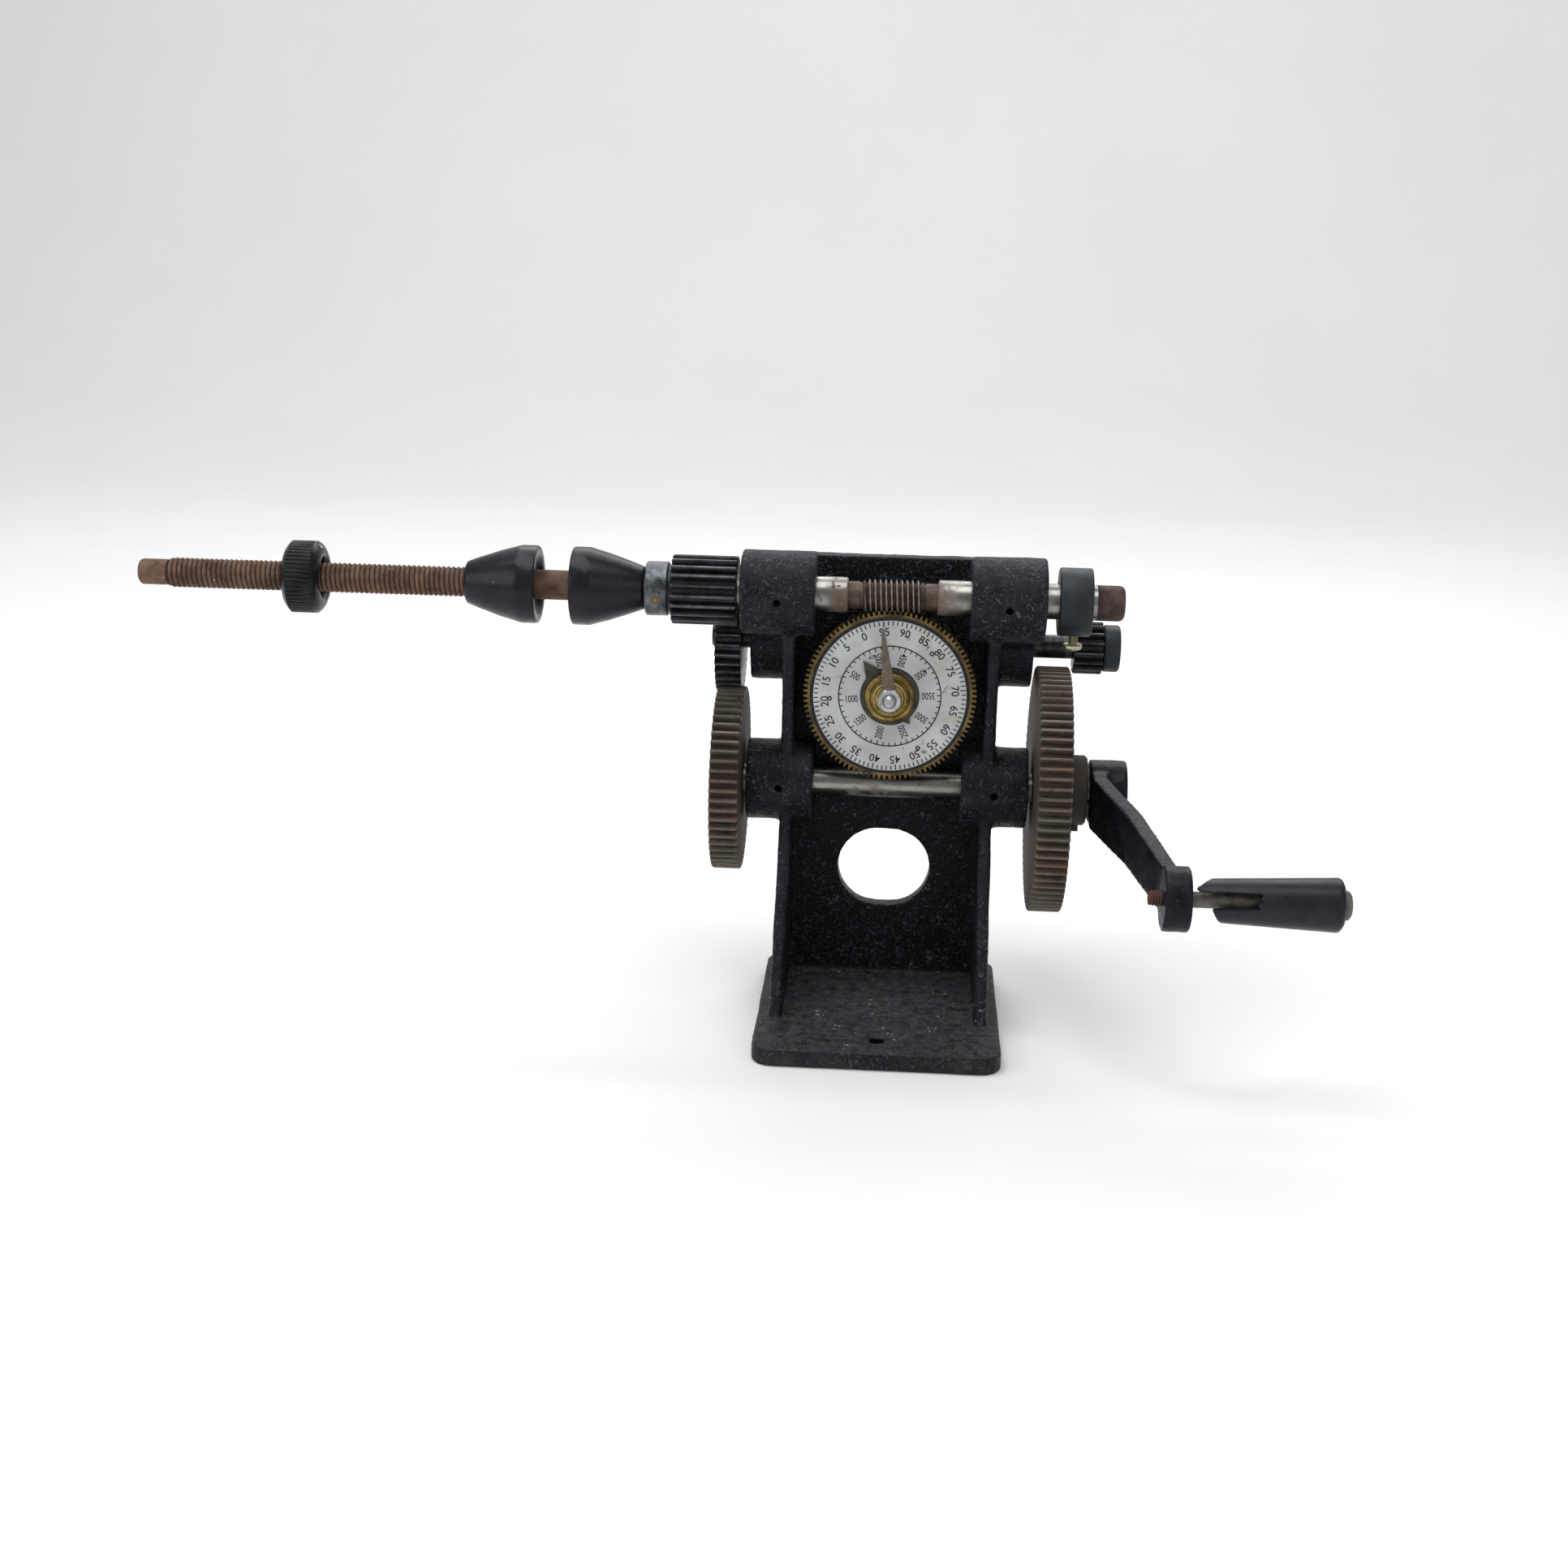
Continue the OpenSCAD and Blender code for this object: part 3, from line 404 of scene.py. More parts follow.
# small gears: blacked, with bare metal along the tooth tops
def blackedFinish(name, axis, root, tip):
    return finish(name, {
        "dark": (0.014, 0.015, 0.017), "light": (0.038, 0.041, 0.046), "grain": 140, "metal": 0.6,
        "gloss": 0.25, "rough": (0.28, 0.44), "relief": ((900, 0.03),),
        "patches": (
            patch(110, (0.3, 0.7), (0.12, 0.123, 0.13), 0.3, axis=axis,
                  reach=(root + 0.75 * (tip - root), tip * 1.005)),
            patch(210, (0.64, 0.7), (0.07, 0.045, 0.032), 0.75, dull=True),
        ),
    })


hubSteel = finish("hub_steel", {
    "dark": (0.05, 0.053, 0.06), "light": (0.15, 0.156, 0.17), "grain": 190, "metal": 0.7,
    "rough": (0.3, 0.5), "relief": ((500, 0.06, 0.4),),
    "patches": (patch(160, (0.56, 0.66), (0.022, 0.023, 0.026), 0.5),),
})


# finishes of the plastic pieces

def plasticFinish(name, dark, light, scuff, rough, gloss, rare):
    return finish(name, {
        "dark": dark, "light": light, "grain": 70, "gloss": gloss, "rough": rough,
        "relief": ((1400, 0.02), (220, 0.05, 0.3)),
        "patches": (
            patch(110, (0.58, 0.74), scuff, 0.55),
            patch(190, (0.66, 0.72), (0.004, 0.0045, 0.006), 0.4),
        ),
        "specks": {"scale": 240, "size": 0.16, "rare": rare, "colour": (0.55, 0.55, 0.54)},
    })


conePlastic = plasticFinish(
    "cone_plastic", (0.005, 0.0058, 0.0085), (0.011, 0.0128, 0.0185), (0.03, 0.034, 0.044), (0.22, 0.36),
    0.22, 0.645)
collarPlastic = plasticFinish(
    "collar_plastic", (0.013, 0.016, 0.019), (0.023, 0.0275, 0.0325), (0.04, 0.046, 0.052), (0.38, 0.54),
    0.26, 0.7)
gripPlastic = plasticFinish(
    "grip_plastic", (0.008, 0.0088, 0.0125), (0.017, 0.0188, 0.026), (0.036, 0.04, 0.052), (0.28, 0.42),
    0.24, 0.68)

glossyNut = finish("glossy_nut", {
    "dark": (0.0035, 0.0038, 0.0045), "light": (0.0095, 0.0102, 0.0118), "grain": 120, "gloss": 0.22,
    "rough": (0.22, 0.34), "relief": ((900, 0.03),),
    "patches": (
        patch(150, (0.6, 0.72), (0.024, 0.025, 0.028), 0.55),
        patch(170, (0.595, 0.615), (0.66, 0.66, 0.65), 0.5, along=("Z", 0.1812, 0.1826)),
    ),
    "specks": {"scale": 300, "size": 0.18, "rare": 0.67, "colour": (0.4, 0.4, 0.39)},
})


# finishes of the brass and of the counter

def platedFinish(name, dark, light, toneScale, metal, rough, relief, *stains, gloss=0.5):
    return finish(name, {
        "dark": dark, "light": light, "grain": toneScale, "metal": metal, "gloss": gloss,
        "rough": rough, "relief": (relief,), "patches": stains,
    })


brightBrass = platedFinish(
    "bright_brass", (0.27, 0.19, 0.062), (0.48, 0.365, 0.15), 160, 0.9, (0.26, 0.42), (900, 0.02),
    patch(150, (0.56, 0.7), (0.11, 0.074, 0.026), 0.6))
screwBrass = platedFinish(
    "screw_brass", (0.33, 0.285, 0.17), (0.62, 0.57, 0.41), 240, 0.85, (0.24, 0.4), (1200, 0.03),
    patch(260, (0.56, 0.7), (0.14, 0.105, 0.05), 0.6))
agedBrass = platedFinish(
    "aged_brass", (0.13, 0.085, 0.024), (0.33, 0.232, 0.066), 150, 0.85, (0.32, 0.5), (900, 0.03),
    patch(120, (0.5, 0.68), (0.085, 0.056, 0.02), 0.65))
wheelBrass = platedFinish(
    "wheel_brass", (0.085, 0.055, 0.02), (0.215, 0.145, 0.048), 120, 0.7, (0.38, 0.58), (900, 0.03),
    patch(90, (0.48, 0.7), (0.055, 0.038, 0.018), 0.7))
zincPlate = platedFinish(
    "zinc_plate", (0.34, 0.34, 0.33), (0.58, 0.58, 0.56), 260, 0.8, (0.26, 0.46), (1200, 0.02),
    patch(300, (0.58, 0.7), (0.18, 0.16, 0.12), 0.65))
pointerBrown = platedFinish(
    "pointer_brown", (0.095, 0.07, 0.05), (0.175, 0.138, 0.104), 220, 0.3, (0.45, 0.65), (1200, 0.02),
    gloss=0.4)
pointerDark = platedFinish(
    "pointer_dark", (0.02, 0.018, 0.011), (0.062, 0.056, 0.036), 220, 0.2, (0.42, 0.6), (1200, 0.02),
    gloss=0.4)
# the same dark finish serves the printed marks and the rings of painted shade
dialInkAndPaintedShade = platedFinish(
    "dial_ink_and_painted_shade", (0.008, 0.008, 0.009), (0.024, 0.024, 0.026), 500, 0.0, (0.5, 0.65), (2000, 0.01),
    gloss=0.3)

dialLacquer = finish("dial_lacquer", {
    "dark": (0.42, 0.425, 0.43), "light": (0.56, 0.57, 0.58), "grain": 45, "metal": 0.15, "gloss": 0.45,
    "rough": (0.34, 0.5), "relief": ((1200, 0.012),),
    "patches": (
        patch(60, (0.54, 0.76), (0.4, 0.345, 0.225), 0.55),
        patch(170, (0.63, 0.71), (0.215, 0.175, 0.11), 0.6),
        patch(750, (0.655, 0.7), (0.07, 0.058, 0.046), 0.7),
        patch(1500, (0.66, 0.7), (0.045, 0.038, 0.03), 0.7),
    ),
})

print("finishes made")


# mesh tools

def place(name, mesh, body, slot, mats, replaced=()):
    piece = linked(name, mesh)
    if mesh.materials:  # clearing also resets the faces' numbers
        mesh.materials.clear()
    for mat in (mats if isinstance(mats, (list, tuple)) else [mats]):
        mesh.materials.append(mat)
    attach(piece, body)
    if replaced:
        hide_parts(*replaced)


def smoothed(mesh, angle=35):
    mesh.shade_smooth()
    mesh.set_sharp_from_angle(angle=math.radians(angle))
    return mesh


def meshFrom(bm, name, angle=35):
    bmesh.ops.recalc_face_normals(bm, faces=bm.faces)
    mesh = bpy.data.meshes.new(name)
    bm.to_mesh(mesh)
    bm.free()
    return smoothed(mesh, angle)


# Rings stacked along local z, each (z, radius) with an optional material number.
# A radius is a number or a function of angle and place; a loop closes on itself, else both ends are capped.
def addTurned(bm, rings, turn, sides=64, loop=False, angles=None):
    angles = angles or [2 * math.pi * k / sides for k in range(sides)]
    numbers = [ring[2] if len(ring) > 2 else 0 for ring in rings]
    rows = []
    for ring in rings:
        z, radius = ring[:2]
        row = []
        for k, a in enumerate(angles):
            r = radius(a, k) if callable(radius) else radius
            row.append(bm.verts.new(turn @ Vector((r * math.cos(a), r * math.sin(a), z))))
        rows.append(row)
    count = len(angles)
    pairs = list(zip(rows, rows[1:])) + ([(rows[-1], rows[0])] if loop else [])
    for number, (first, second) in zip(numbers, pairs):
        for k in range(count):
            n = (k + 1) % count
            bm.faces.new((first[k], first[n], second[n], second[k])).material_index = number
    if not loop:
        bm.faces.new(list(reversed(rows[0]))).material_index = numbers[0]
        bm.faces.new(rows[-1]).material_index = numbers[-1]


def turned(name, rings, turn, sides=64, loop=False, angle=35, angles=None):
    bm = bmesh.new()
    addTurned(bm, rings, turn, sides, loop, angles)
    return meshFrom(bm, name, angle)


# Rings from points in mm: how far from an end, the radius, and the material number if it isn't 0
def inMm(points, start=0.0, way=1):
    return [(start + way * z * mm, r if callable(r) else r * mm, *number) for z, r, *number in points]


# a turned piece that stands for one CAD node
def addPiece(name, rings, line, body, slot, mats, node, **shape):
    place(name, turned(name, rings, line, **shape), body, slot, mats, (node,))


# Rings of a screw thread: a ridge that winds once a pitch, faded at both ends
def threadRings(left, right, crest, depth, pitch, perPitch=6, power=1.0, lead=0.0):
    count = int(round((right - left) / pitch * perPitch))

    def ring(x):
        def radius(a, k):
            share = ((x - left) / pitch - a / (2 * math.pi) + lead) % 1.0
            ridge = (0.5 - 0.5 * math.cos(2 * math.pi * share)) ** power
            fade = max(0.0, min(1.0, (x - left) / pitch, (right - x) / pitch))
            return crest - depth * (1 - ridge * fade)
        return (x, radius)
    return [ring(left + (right - left) * k / count) for k in range(count + 1)]


def meshOf(piece):
    bpy.context.view_layer.update()
    return bpy.data.meshes.new_from_object(piece.evaluated_get(bpy.context.evaluated_depsgraph_get()))


def addRod(bm, turn, left, right, radius, sides=48):
    at = turn @ Matrix.Translation((0, 0, (left + right) / 2))
    bmesh.ops.create_cone(bm, cap_ends=True, segments=sides, radius1=radius, radius2=radius,
                          depth=right - left, matrix=at)


def rawPiece(bm, name):
    mesh = bpy.data.meshes.new(name)
    bm.to_mesh(mesh)
    bm.free()
    return linked(name, mesh)


# A casting: the CAD node's form with its bores filled, softened as foundry work, then drilled again
def castPiece(name, node, fills, drills, look):
    bm = bmesh.new()
    bm.from_mesh(nodes[node].data)
    bmesh.ops.remove_doubles(bm, verts=bm.verts, dist=1e-6)
    for fill in fills:
        addRod(bm, *fill)
    raw = rawPiece(bm, name + "_raw")
    configure(raw.modifiers.new("grid", "REMESH"), mode="VOXEL", voxel_size=look["voxel"])
    configure(raw.modifiers.new("soften", "SMOOTH"), factor=0.5, iterations=look["soften"])
    cast = meshOf(raw)
    normals = [v.normal.copy() for v in cast.vertices]
    for v, normal in zip(cast.vertices, normals):
        swell = noise.noise(v.co * look["swellScale"])
        lump = noise.noise(v.co * look["lumpScale"] + Vector((3, 5, 7)))
        v.co += normal * (look["swell"] * swell + look["lump"] * lump)
    raw.modifiers.clear()
    raw.data = cast
    bm = bmesh.new()
    for drill in drills:
        addRod(bm, *drill)
    cutter = rawPiece(bm, name + "_drills")
    configure(raw.modifiers.new("drill", "BOOLEAN"), operation="DIFFERENCE", solver="MANIFOLD",
              object=cutter)
    configure(raw.modifiers.new("thin", "DECIMATE"), ratio=look["keep"])
    done = meshOf(raw)
    bpy.data.objects.remove(raw)
    bpy.data.objects.remove(cutter)
    return smoothed(done, 50)


# frame casting

frameLook = {"voxel": 0.85 * mm, "soften": 7, "swell": 0.25 * mm, "swellScale": 70, "lump": 0.12 * mm,
             "lumpScale": 330, "keep": 0.45, "upper": (30.5 * mm, 60 * mm), "lower": (30 * mm, 57 * mm),
             "boltRows": (-42 * mm, 50 * mm), "boltBore": 3 * mm, "oilBore": 1.5 * mm, "drillEnd": 70 * mm}
fills, drills = [], []
for side in (-1, 1):
    fills.append((spindleLine, *sorted(side * x for x in frameLook["upper"]), 8.2 * mm))
    fills.append((crankLine, *sorted(side * x for x in frameLook["lower"]), 7.2 * mm))
    # oil holes run in from the operator's side
    for axis, x, tilt in ((spindleAxis, 45.25 * mm, 96), (crankAxis, 43.5 * mm, 90)):
        aim = Matrix.Translation((side * x, *axis)) @ Matrix.Rotation(math.radians(tilt), 4, "X")
        drills.append((aim, 3 * mm, 30 * mm, frameLook["oilBore"], 24))
fills.append((counterLine, -frameLook["lower"][1], frameLook["lower"][1], 6 * mm))
for line, bore in ((spindleLine, 7.12 * mm), (crankLine, 6.12 * mm), (counterLine, 4.87 * mm)):
    drills.append((line, -frameLook["drillEnd"], frameLook["drillEnd"], bore, 64))
for y in frameLook["boltRows"]:
    drills.append((Matrix.Translation((0, y, 0)), -5 * mm, 12 * mm, frameLook["boltBore"], 40))
frameMesh = castPiece("cast_frame", "frame_casting", fills, drills, frameLook)
place("cast_frame", frameMesh, "root", "casting", [wrinklePaint, boreShade], ("frame_casting",))
# faces inside the bolt holes take the painted shade
for face in frameMesh.polygons:
    aside = min(math.hypot(face.center.x, face.center.y - y) for y in frameLook["boltRows"])
    if aside < 3.2 * mm and face.center.z < 7.5 * mm and abs(face.normal.z) < 0.5:
        face.material_index = 1
print("cast frame:", len(frameMesh.polygons), "faces")


# crank arm

crankLook = {"voxel": 0.6 * mm, "soften": 14, "swell": 0.2 * mm, "swellScale": 90, "lump": 0.05 * mm,
             "lumpScale": 300, "keep": 0.5, "hub": 15 * mm, "eye": 10 * mm, "past": 5 * mm}
crankLeft, crankRight = ends("crank_arm")
hubSpan = (crankLeft, crankLeft + crankLook["hub"])
eyeSpan = (crankRight - crankLook["eye"], crankRight)
past = crankLook["past"]
crankMesh = castPiece("cast_crank", "crank_arm",
                      [(crankLine, *hubSpan, 7 * mm), (pinLine, *eyeSpan, 4 * mm)],
                      [(crankLine, hubSpan[0] - past, hubSpan[1] + past, 6.06 * mm, 64),
                       (pinLine, eyeSpan[0] - past, eyeSpan[1] + past, 3.06 * mm, 48)], crankLook)
place("cast_crank", crankMesh, "crank_group", "casting", crankPaint, ("crank_arm",))
print("crank arm:", len(crankMesh.polygons), "faces")


# spindle: screw, journals, worm and stub

spindleLook = {"pitch": 2.0 * mm, "crest": 5.98 * mm, "depth": 0.85 * mm, "threadEnd": -0.15,
               "tipRadius": 5.15 * mm, "tipRound": 1.6 * mm, "tipLength": 11.6 * mm, "neck": 4.6 * mm}
tipLeft, stubRight = ends("spindle")
threadLeft, screwRight = tipLeft + spindleLook["tipLength"], ends("spindle_pinion")[0]
threadEnd, tipR, tipRound = (spindleLook[key] for key in ("threadEnd", "tipRadius", "tipRound"))
screwRings = [(tipLeft + tipRound * (1 - math.sin(t)), tipR - tipRound * (1 - math.cos(t)), 1)
              for t in (1.57, 1.2, 0.8, 0.4, 0)]
screwRings += [(threadLeft - 1.2 * mm, tipR, 1), (threadLeft - 0.2 * mm, 5.0 * mm, 1)]
screwRings += threadRings(threadLeft, threadEnd, spindleLook["crest"], spindleLook["depth"],
                          spindleLook["pitch"], perPitch=8, power=0.45)
screwRings += [(threadEnd + 1 * mm, 5.9 * mm, 1), (screwRight + 2 * mm, 5.9 * mm, 1)]
addPiece("winding_screw", screwRings, spindleLine, "spindle_group", "rust_thread",
         [rustedScrew, rustedBar], "spindle", sides=32, angle=60)

# the necks beside the worm are rusty, as it is
wormLeft, wormRight = ends("worm")
journalRings = inMm(((0.6, 6.5), (1.2, 7)), screwRight)
journalRings += inMm(((-0.5, 7), (0, 6.6, 1), (0, 5.4, 1)), wormLeft - spindleLook["neck"])
journalRings += inMm(((0, 5.4, 1), (0, 3.45, 1)), wormLeft) + inMm(((0, 3.45, 1), (0, 5.4, 1)), wormRight)
journalRings += inMm(((0, 5.4), (0, 6.6), (0.5, 7)), wormRight + spindleLook["neck"])
journalRings += inMm(((11, 7),), stubRight, -1)
place("spindle_journals", turned("spindle_journals", journalRings, spindleLine), "spindle_group",
      "bright_steel", [groundShaft, wormSteel])
stubProfile = ((11.2, 6.9), (10.9, 7), (2.2, 7), (1.2, 6.75), (0.5, 6.2), (0.1, 5.4), (0, 4.4))
stubRings = inMm(stubProfile, stubRight, -1)
place("spindle_stub", turned("spindle_stub", stubRings, spindleLine, angle=50), "spindle_group",
      "rust_thread", rustedStub)

wormLook = {"root": 4.95 * mm, "crest": 6.6 * mm, "bore": 3.55 * mm, "pitch": 2.12 * mm, "plain": 0.35 * mm}
wormRoot, wormCrest, wormBore = (wormLook[key] for key in ("root", "crest", "bore"))
wormRings = [(wormLeft, wormBore), (wormLeft, wormRoot)]
wormRings += threadRings(wormLeft + wormLook["plain"], wormRight - wormLook["plain"], wormCrest,
                         wormCrest - wormRoot, wormLook["pitch"], perPitch=10, lead=0.18)
wormRings += [(wormRight, wormRoot), (wormRight, wormBore)]
addPiece("counter_worm", wormRings, spindleLine, "spindle_group", "rust_thread", wormSteel, "worm",
         sides=48, loop=True, angle=50)
print("spindle pieces made")


# gears: the CAD's involute teeth on blanks with turned edges

gearModule = 1.25 * mm


def toothOutline(teeth, thin, turnBy):
    pitchR = gearModule * teeth / 2
    pressure = math.radians(20)
    baseR, tipR, rootR = pitchR * math.cos(pressure), pitchR + gearModule, pitchR - 1.25 * gearModule
    startR = max(baseR, rootR)

    def spread(a):
        return math.tan(a) - a

    def half(r):
        return (math.pi / 2 / teeth - thin / 2 / pitchR + spread(pressure)
                - spread(math.acos(min(1.0, baseR / r))))
    radii = [startR + (tipR - startR) * i / 4 for i in range(5)]
    points = []
    for k in range(teeth):
        c = math.radians(turnBy) + 2 * math.pi * k / teeth
        if rootR < baseR:
            points.append((c - half(startR), rootR))
        points += [(c - half(r), r) for r in radii] + [(c + half(r), r) for r in reversed(radii)]
        if rootR < baseR:
            points.append((c + half(startR), rootR))
        points.append((c + math.pi / teeth, min(rootR, startR)))
    return points, rootR, tipR


# inner is the list of rings that joins the right face back to the left one, through the bore
def toothedWheel(name, look, line):
    points, rootR, tipR = toothOutline(look["teeth"], look["thin"], look["turn"])
    left, right, edge = look["left"], look["right"], look["edge"]

    def outline(limit):
        return lambda a, k: min(points[k][1], limit)
    under = rootR - 0.8 * mm
    rings = [(left, under), (left, outline(tipR - edge)), (left + edge, outline(tipR)),
             (right - edge, outline(tipR)), (right, outline(tipR - edge)), (right, under)]
    return turned(name, rings + look["inner"], line, loop=True, angle=28, angles=[a for a, r in points])


# a bore with both its edges broken, from the right face to the left
def boreRings(left, right, radius, bevel=0.6 * mm):
    return [(right, radius + bevel), (right - bevel, radius), (left + bevel, radius), (left, radius + bevel)]


def gearLook(node, teeth, turn, bore, thin=0.2 * mm, edge=0.45 * mm):
    left, right = ends(node)
    return {"teeth": teeth, "turn": turn, "thin": thin, "edge": edge, "left": left, "right": right,
            "inner": boreRings(left, right, bore)}


toCounter = 75.5  # degrees from the crank's line up to the countershaft
backTurn = 138.0  # how the countershaft's gear stands
lag = (toCounter - 180 - backTurn) % (360 / 35)
lowGear = gearLook("low_gear", 58, toCounter + lag * 35 / 58 + 180 / 58, 6.03 * mm, edge=0.5 * mm)
highGear = gearLook("high_gear", 78, toCounter + 180 / 78, 6.03 * mm, edge=0.5 * mm)
backGear = gearLook("countershaft_gear", 35, backTurn, 4.78 * mm)
fastPinion = gearLook("countershaft_pinion", 15, toCounter - 180, 4.78 * mm, thin=0.4 * mm)
longPinion = gearLook("spindle_pinion", 20, -33.0, 7.03 * mm)

# two of them have a hub: right of the high gear's teeth, left of the long pinion's
hubRight, highGear["right"] = highGear["right"], highGear["left"] + 13 * mm
highGear["inner"] = (inMm(((0, 14.9), (0.6, 14.3)), highGear["right"])
                     + inMm(((0.9, 14.3), (0, 13.4)), hubRight, -1) + highGear["inner"])
hubLeft, longPinion["left"] = longPinion["left"], longPinion["right"] - 26 * mm
pinionHub = ((0, 7.03, 1), (0, 10.1, 1), (0.6, 10.7, 1), (8.6, 10.7, 1), (9, 10.3), (9.2, 9.5))
longPinion["inner"] = (inMm(((0, 7.03),), longPinion["right"]) + inMm(pinionHub, hubLeft)
                       + inMm(((0, 9.5),), longPinion["left"]))
lowSteel = gearFinish("low_gear_steel", crankAxis, 34.7 * mm, 37.5 * mm)
highSteel = gearFinish("high_gear_steel", crankAxis, 47.2 * mm, 50 * mm)
pinionBlack = blackedFinish("pinion_black", spindleAxis, 10.9 * mm, 13.75 * mm)
backBlack = blackedFinish("back_gear_black", counterAxis, 20.3 * mm, 23.1 * mm)
fastBlack = blackedFinish("fast_pinion_black", counterAxis, 7.8 * mm, 10.6 * mm)
for name, look, line, body, slot, mats, node in (
        ("low_speed_gear", lowGear, crankLine, "crank_group", "rust_gear", lowSteel, "low_gear"),
        ("high_speed_gear", highGear, crankLine, "crank_group", "rust_gear", highSteel, "high_gear"),
        ("long_pinion", longPinion, spindleLine, "spindle_group", "black_steel", [pinionBlack, hubSteel],
         "spindle_pinion"),
        ("back_gear", backGear, counterLine, "counter_group", "black_steel", backBlack, "countershaft_gear"),
        ("fast_pinion", fastPinion, counterLine, "counter_group", "black_steel", fastBlack,
         "countershaft_pinion")):
    place(name, toothedWheel(name, look, line), body, slot, mats, (node,))

setLook = {"turn": 107,
           "rings": ((7.2, 1.9), (10.55, 1.9), (10.8, 1.6), (10.85, 1.0), (10.55, 0.8), (10.5, 0.2))}
setAt = (Matrix.Translation((middle("pinion_set_screw").x, *spindleAxis))
         @ Matrix.Rotation(math.radians(setLook["turn"]), 4, "X"))
addPiece("hub_set_screw", inMm(setLook["rings"]), setAt, "spindle_group", "black_steel", agedBrass,
         "pinion_set_screw", sides=32)
print("gears made")


# shafts with bevelled ends and centre holes

def shaftRings(node, radius):
    left, right = ends(node)
    end = ((1.6 * mm, 0.25 * mm), (0, 1.4 * mm), (0, radius - 0.7 * mm), (0.7 * mm, radius))
    return [(left + z, r) for z, r in end] + [(right - z, r) for z, r in reversed(end)]


addPiece("turning_shaft", shaftRings("crank_shaft", 6 * mm), crankLine, "crank_group", "bright_steel",
         crankSteel, "crank_shaft")
addPiece("back_shaft", shaftRings("countershaft", 4.75 * mm), counterLine, "counter_group", "bright_steel",
         darkShaft, "countershaft", sides=56)
print("shafts made")


# thumb nut, cones, collar and knob; their points are mm in from the left or the right end

nutLook = {"ridges": 50, "depth": 0.65 * mm, "outer": 14.4 * mm,
           "left": ((0, 6.08), (0, 10.6), (0.5, 12.1), (1.4, 13.4), (2.1, 14.0)),
           "right": ((2.4, 14.0), (1.6, 13.4), (0.8, 12.3), (0.2, 10.9), (0, 9.8), (0.1, 8.8), (0.7, 8.2),
                     (3.0, 7.9), (3.2, 6.08))}
nutLeft, nutRight = ends("clamp_nut")


# broad round ridges with narrow grooves between them
def knurl(depth):
    def radius(a, k):
        groove = (0.5 + 0.5 * math.cos(nutLook["ridges"] * a)) ** 2
        return nutLook["outer"] - depth * groove
    return radius


plain, ridged = knurl(0), knurl(nutLook["depth"])
nutRings = inMm((*nutLook["left"], (2.4, plain), (2.9, ridged)), nutLeft)
nutRings += inMm(((3.3, ridged), (2.9, plain), *nutLook["right"]), nutRight, -1)
addPiece("thumb_nut", nutRings, spindleLine, "nut_group", "gloss_plastic", glossyNut, "clamp_nut",
         sides=400, loop=True, angle=50)

# from the small end
coneProfile = ((0, 6.08), (0, 7.5), (0.4, 8.3), (1.3, 8.75), (6, 10.5), (14, 13.2), (20.4, 15.0),
               (21.6, 15.35), (22.6, 15.5), (28.0, 15.5), (28.7, 15.25), (29, 14.7), (28.9, 12.6),
               (28.3, 11.6), (26.6, 10.4), (26, 9.4), (26, 6.08))
for name, node, start, way in (("cone_a", "cone_left", ends("cone_left")[0], 1),
                               ("cone_b", "cone_right", ends("cone_right")[1], -1)):
    coneMesh = turned(name, inMm(coneProfile, start, way), spindleLine, sides=128, loop=True, angle=40)
    place("clamp_" + name, coneMesh, node + "_group", "plastic", conePlastic, (node,))

collarLook = {"left": ((0, 7.04), (0, 12.9), (0.2, 13.3), (0.6, 13.5)),
              "right": ((0.6, 13.5), (0.2, 13.3), (0, 12.9), (0, 8.0), (0.7, 7.04))}
collarLeft, collarRight = ends("spindle_collar")
collarRings = inMm(collarLook["left"], collarLeft) + inMm(collarLook["right"], collarRight, -1)
addPiece("stop_collar", collarRings, spindleLine, "spindle_group", "plastic", collarPlastic,
         "spindle_collar", sides=96, loop=True)

knobLook = {"hole": ((1.2, 4.86),), "left": ((0, 4.86), (0, 9.0), (0.5, 9.5)),
            "right": ((1.2, 9.5), (0.5, 9.25), (0.1, 8.6), (0, 7.8))}
knobLeft, knobRight = ends("shift_knob")
knobRings = (inMm(knobLook["hole"], knobRight, -1) + inMm(knobLook["left"], knobLeft)
             + inMm(knobLook["right"], knobRight, -1))
addPiece("speed_knob", knobRings, counterLine, "shift_group", "plastic", collarPlastic, "shift_knob",
         sides=96)

# brass screw under the collar
brassLook = {"thread": (7.2 * mm, 16.4 * mm, 2.0 * mm, 0.25 * mm, 0.8 * mm), "start": ((7.1, 1.9),),
             "head": ((16.5, 2.6), (16.6, 3.5), (17.0, 3.8), (18.0, 3.8), (18.6, 3.4), (19.0, 2.4),
                      (19.1, 1.2))}
downFrom = (Matrix.Translation(((collarLeft + collarRight) / 2, *spindleAxis))
            @ Matrix.Rotation(math.pi, 4, "X"))
brassRings = inMm(brassLook["start"]) + threadRings(*brassLook["thread"]) + inMm(brassLook["head"])
addPiece("brass_screw", brassRings, downFrom, "spindle_group", "brass", screwBrass, "collar_screw", sides=40)
print("nut, cones, collar and knob made")


# handle: pin with its rusty thread, domed head, and the broken grip

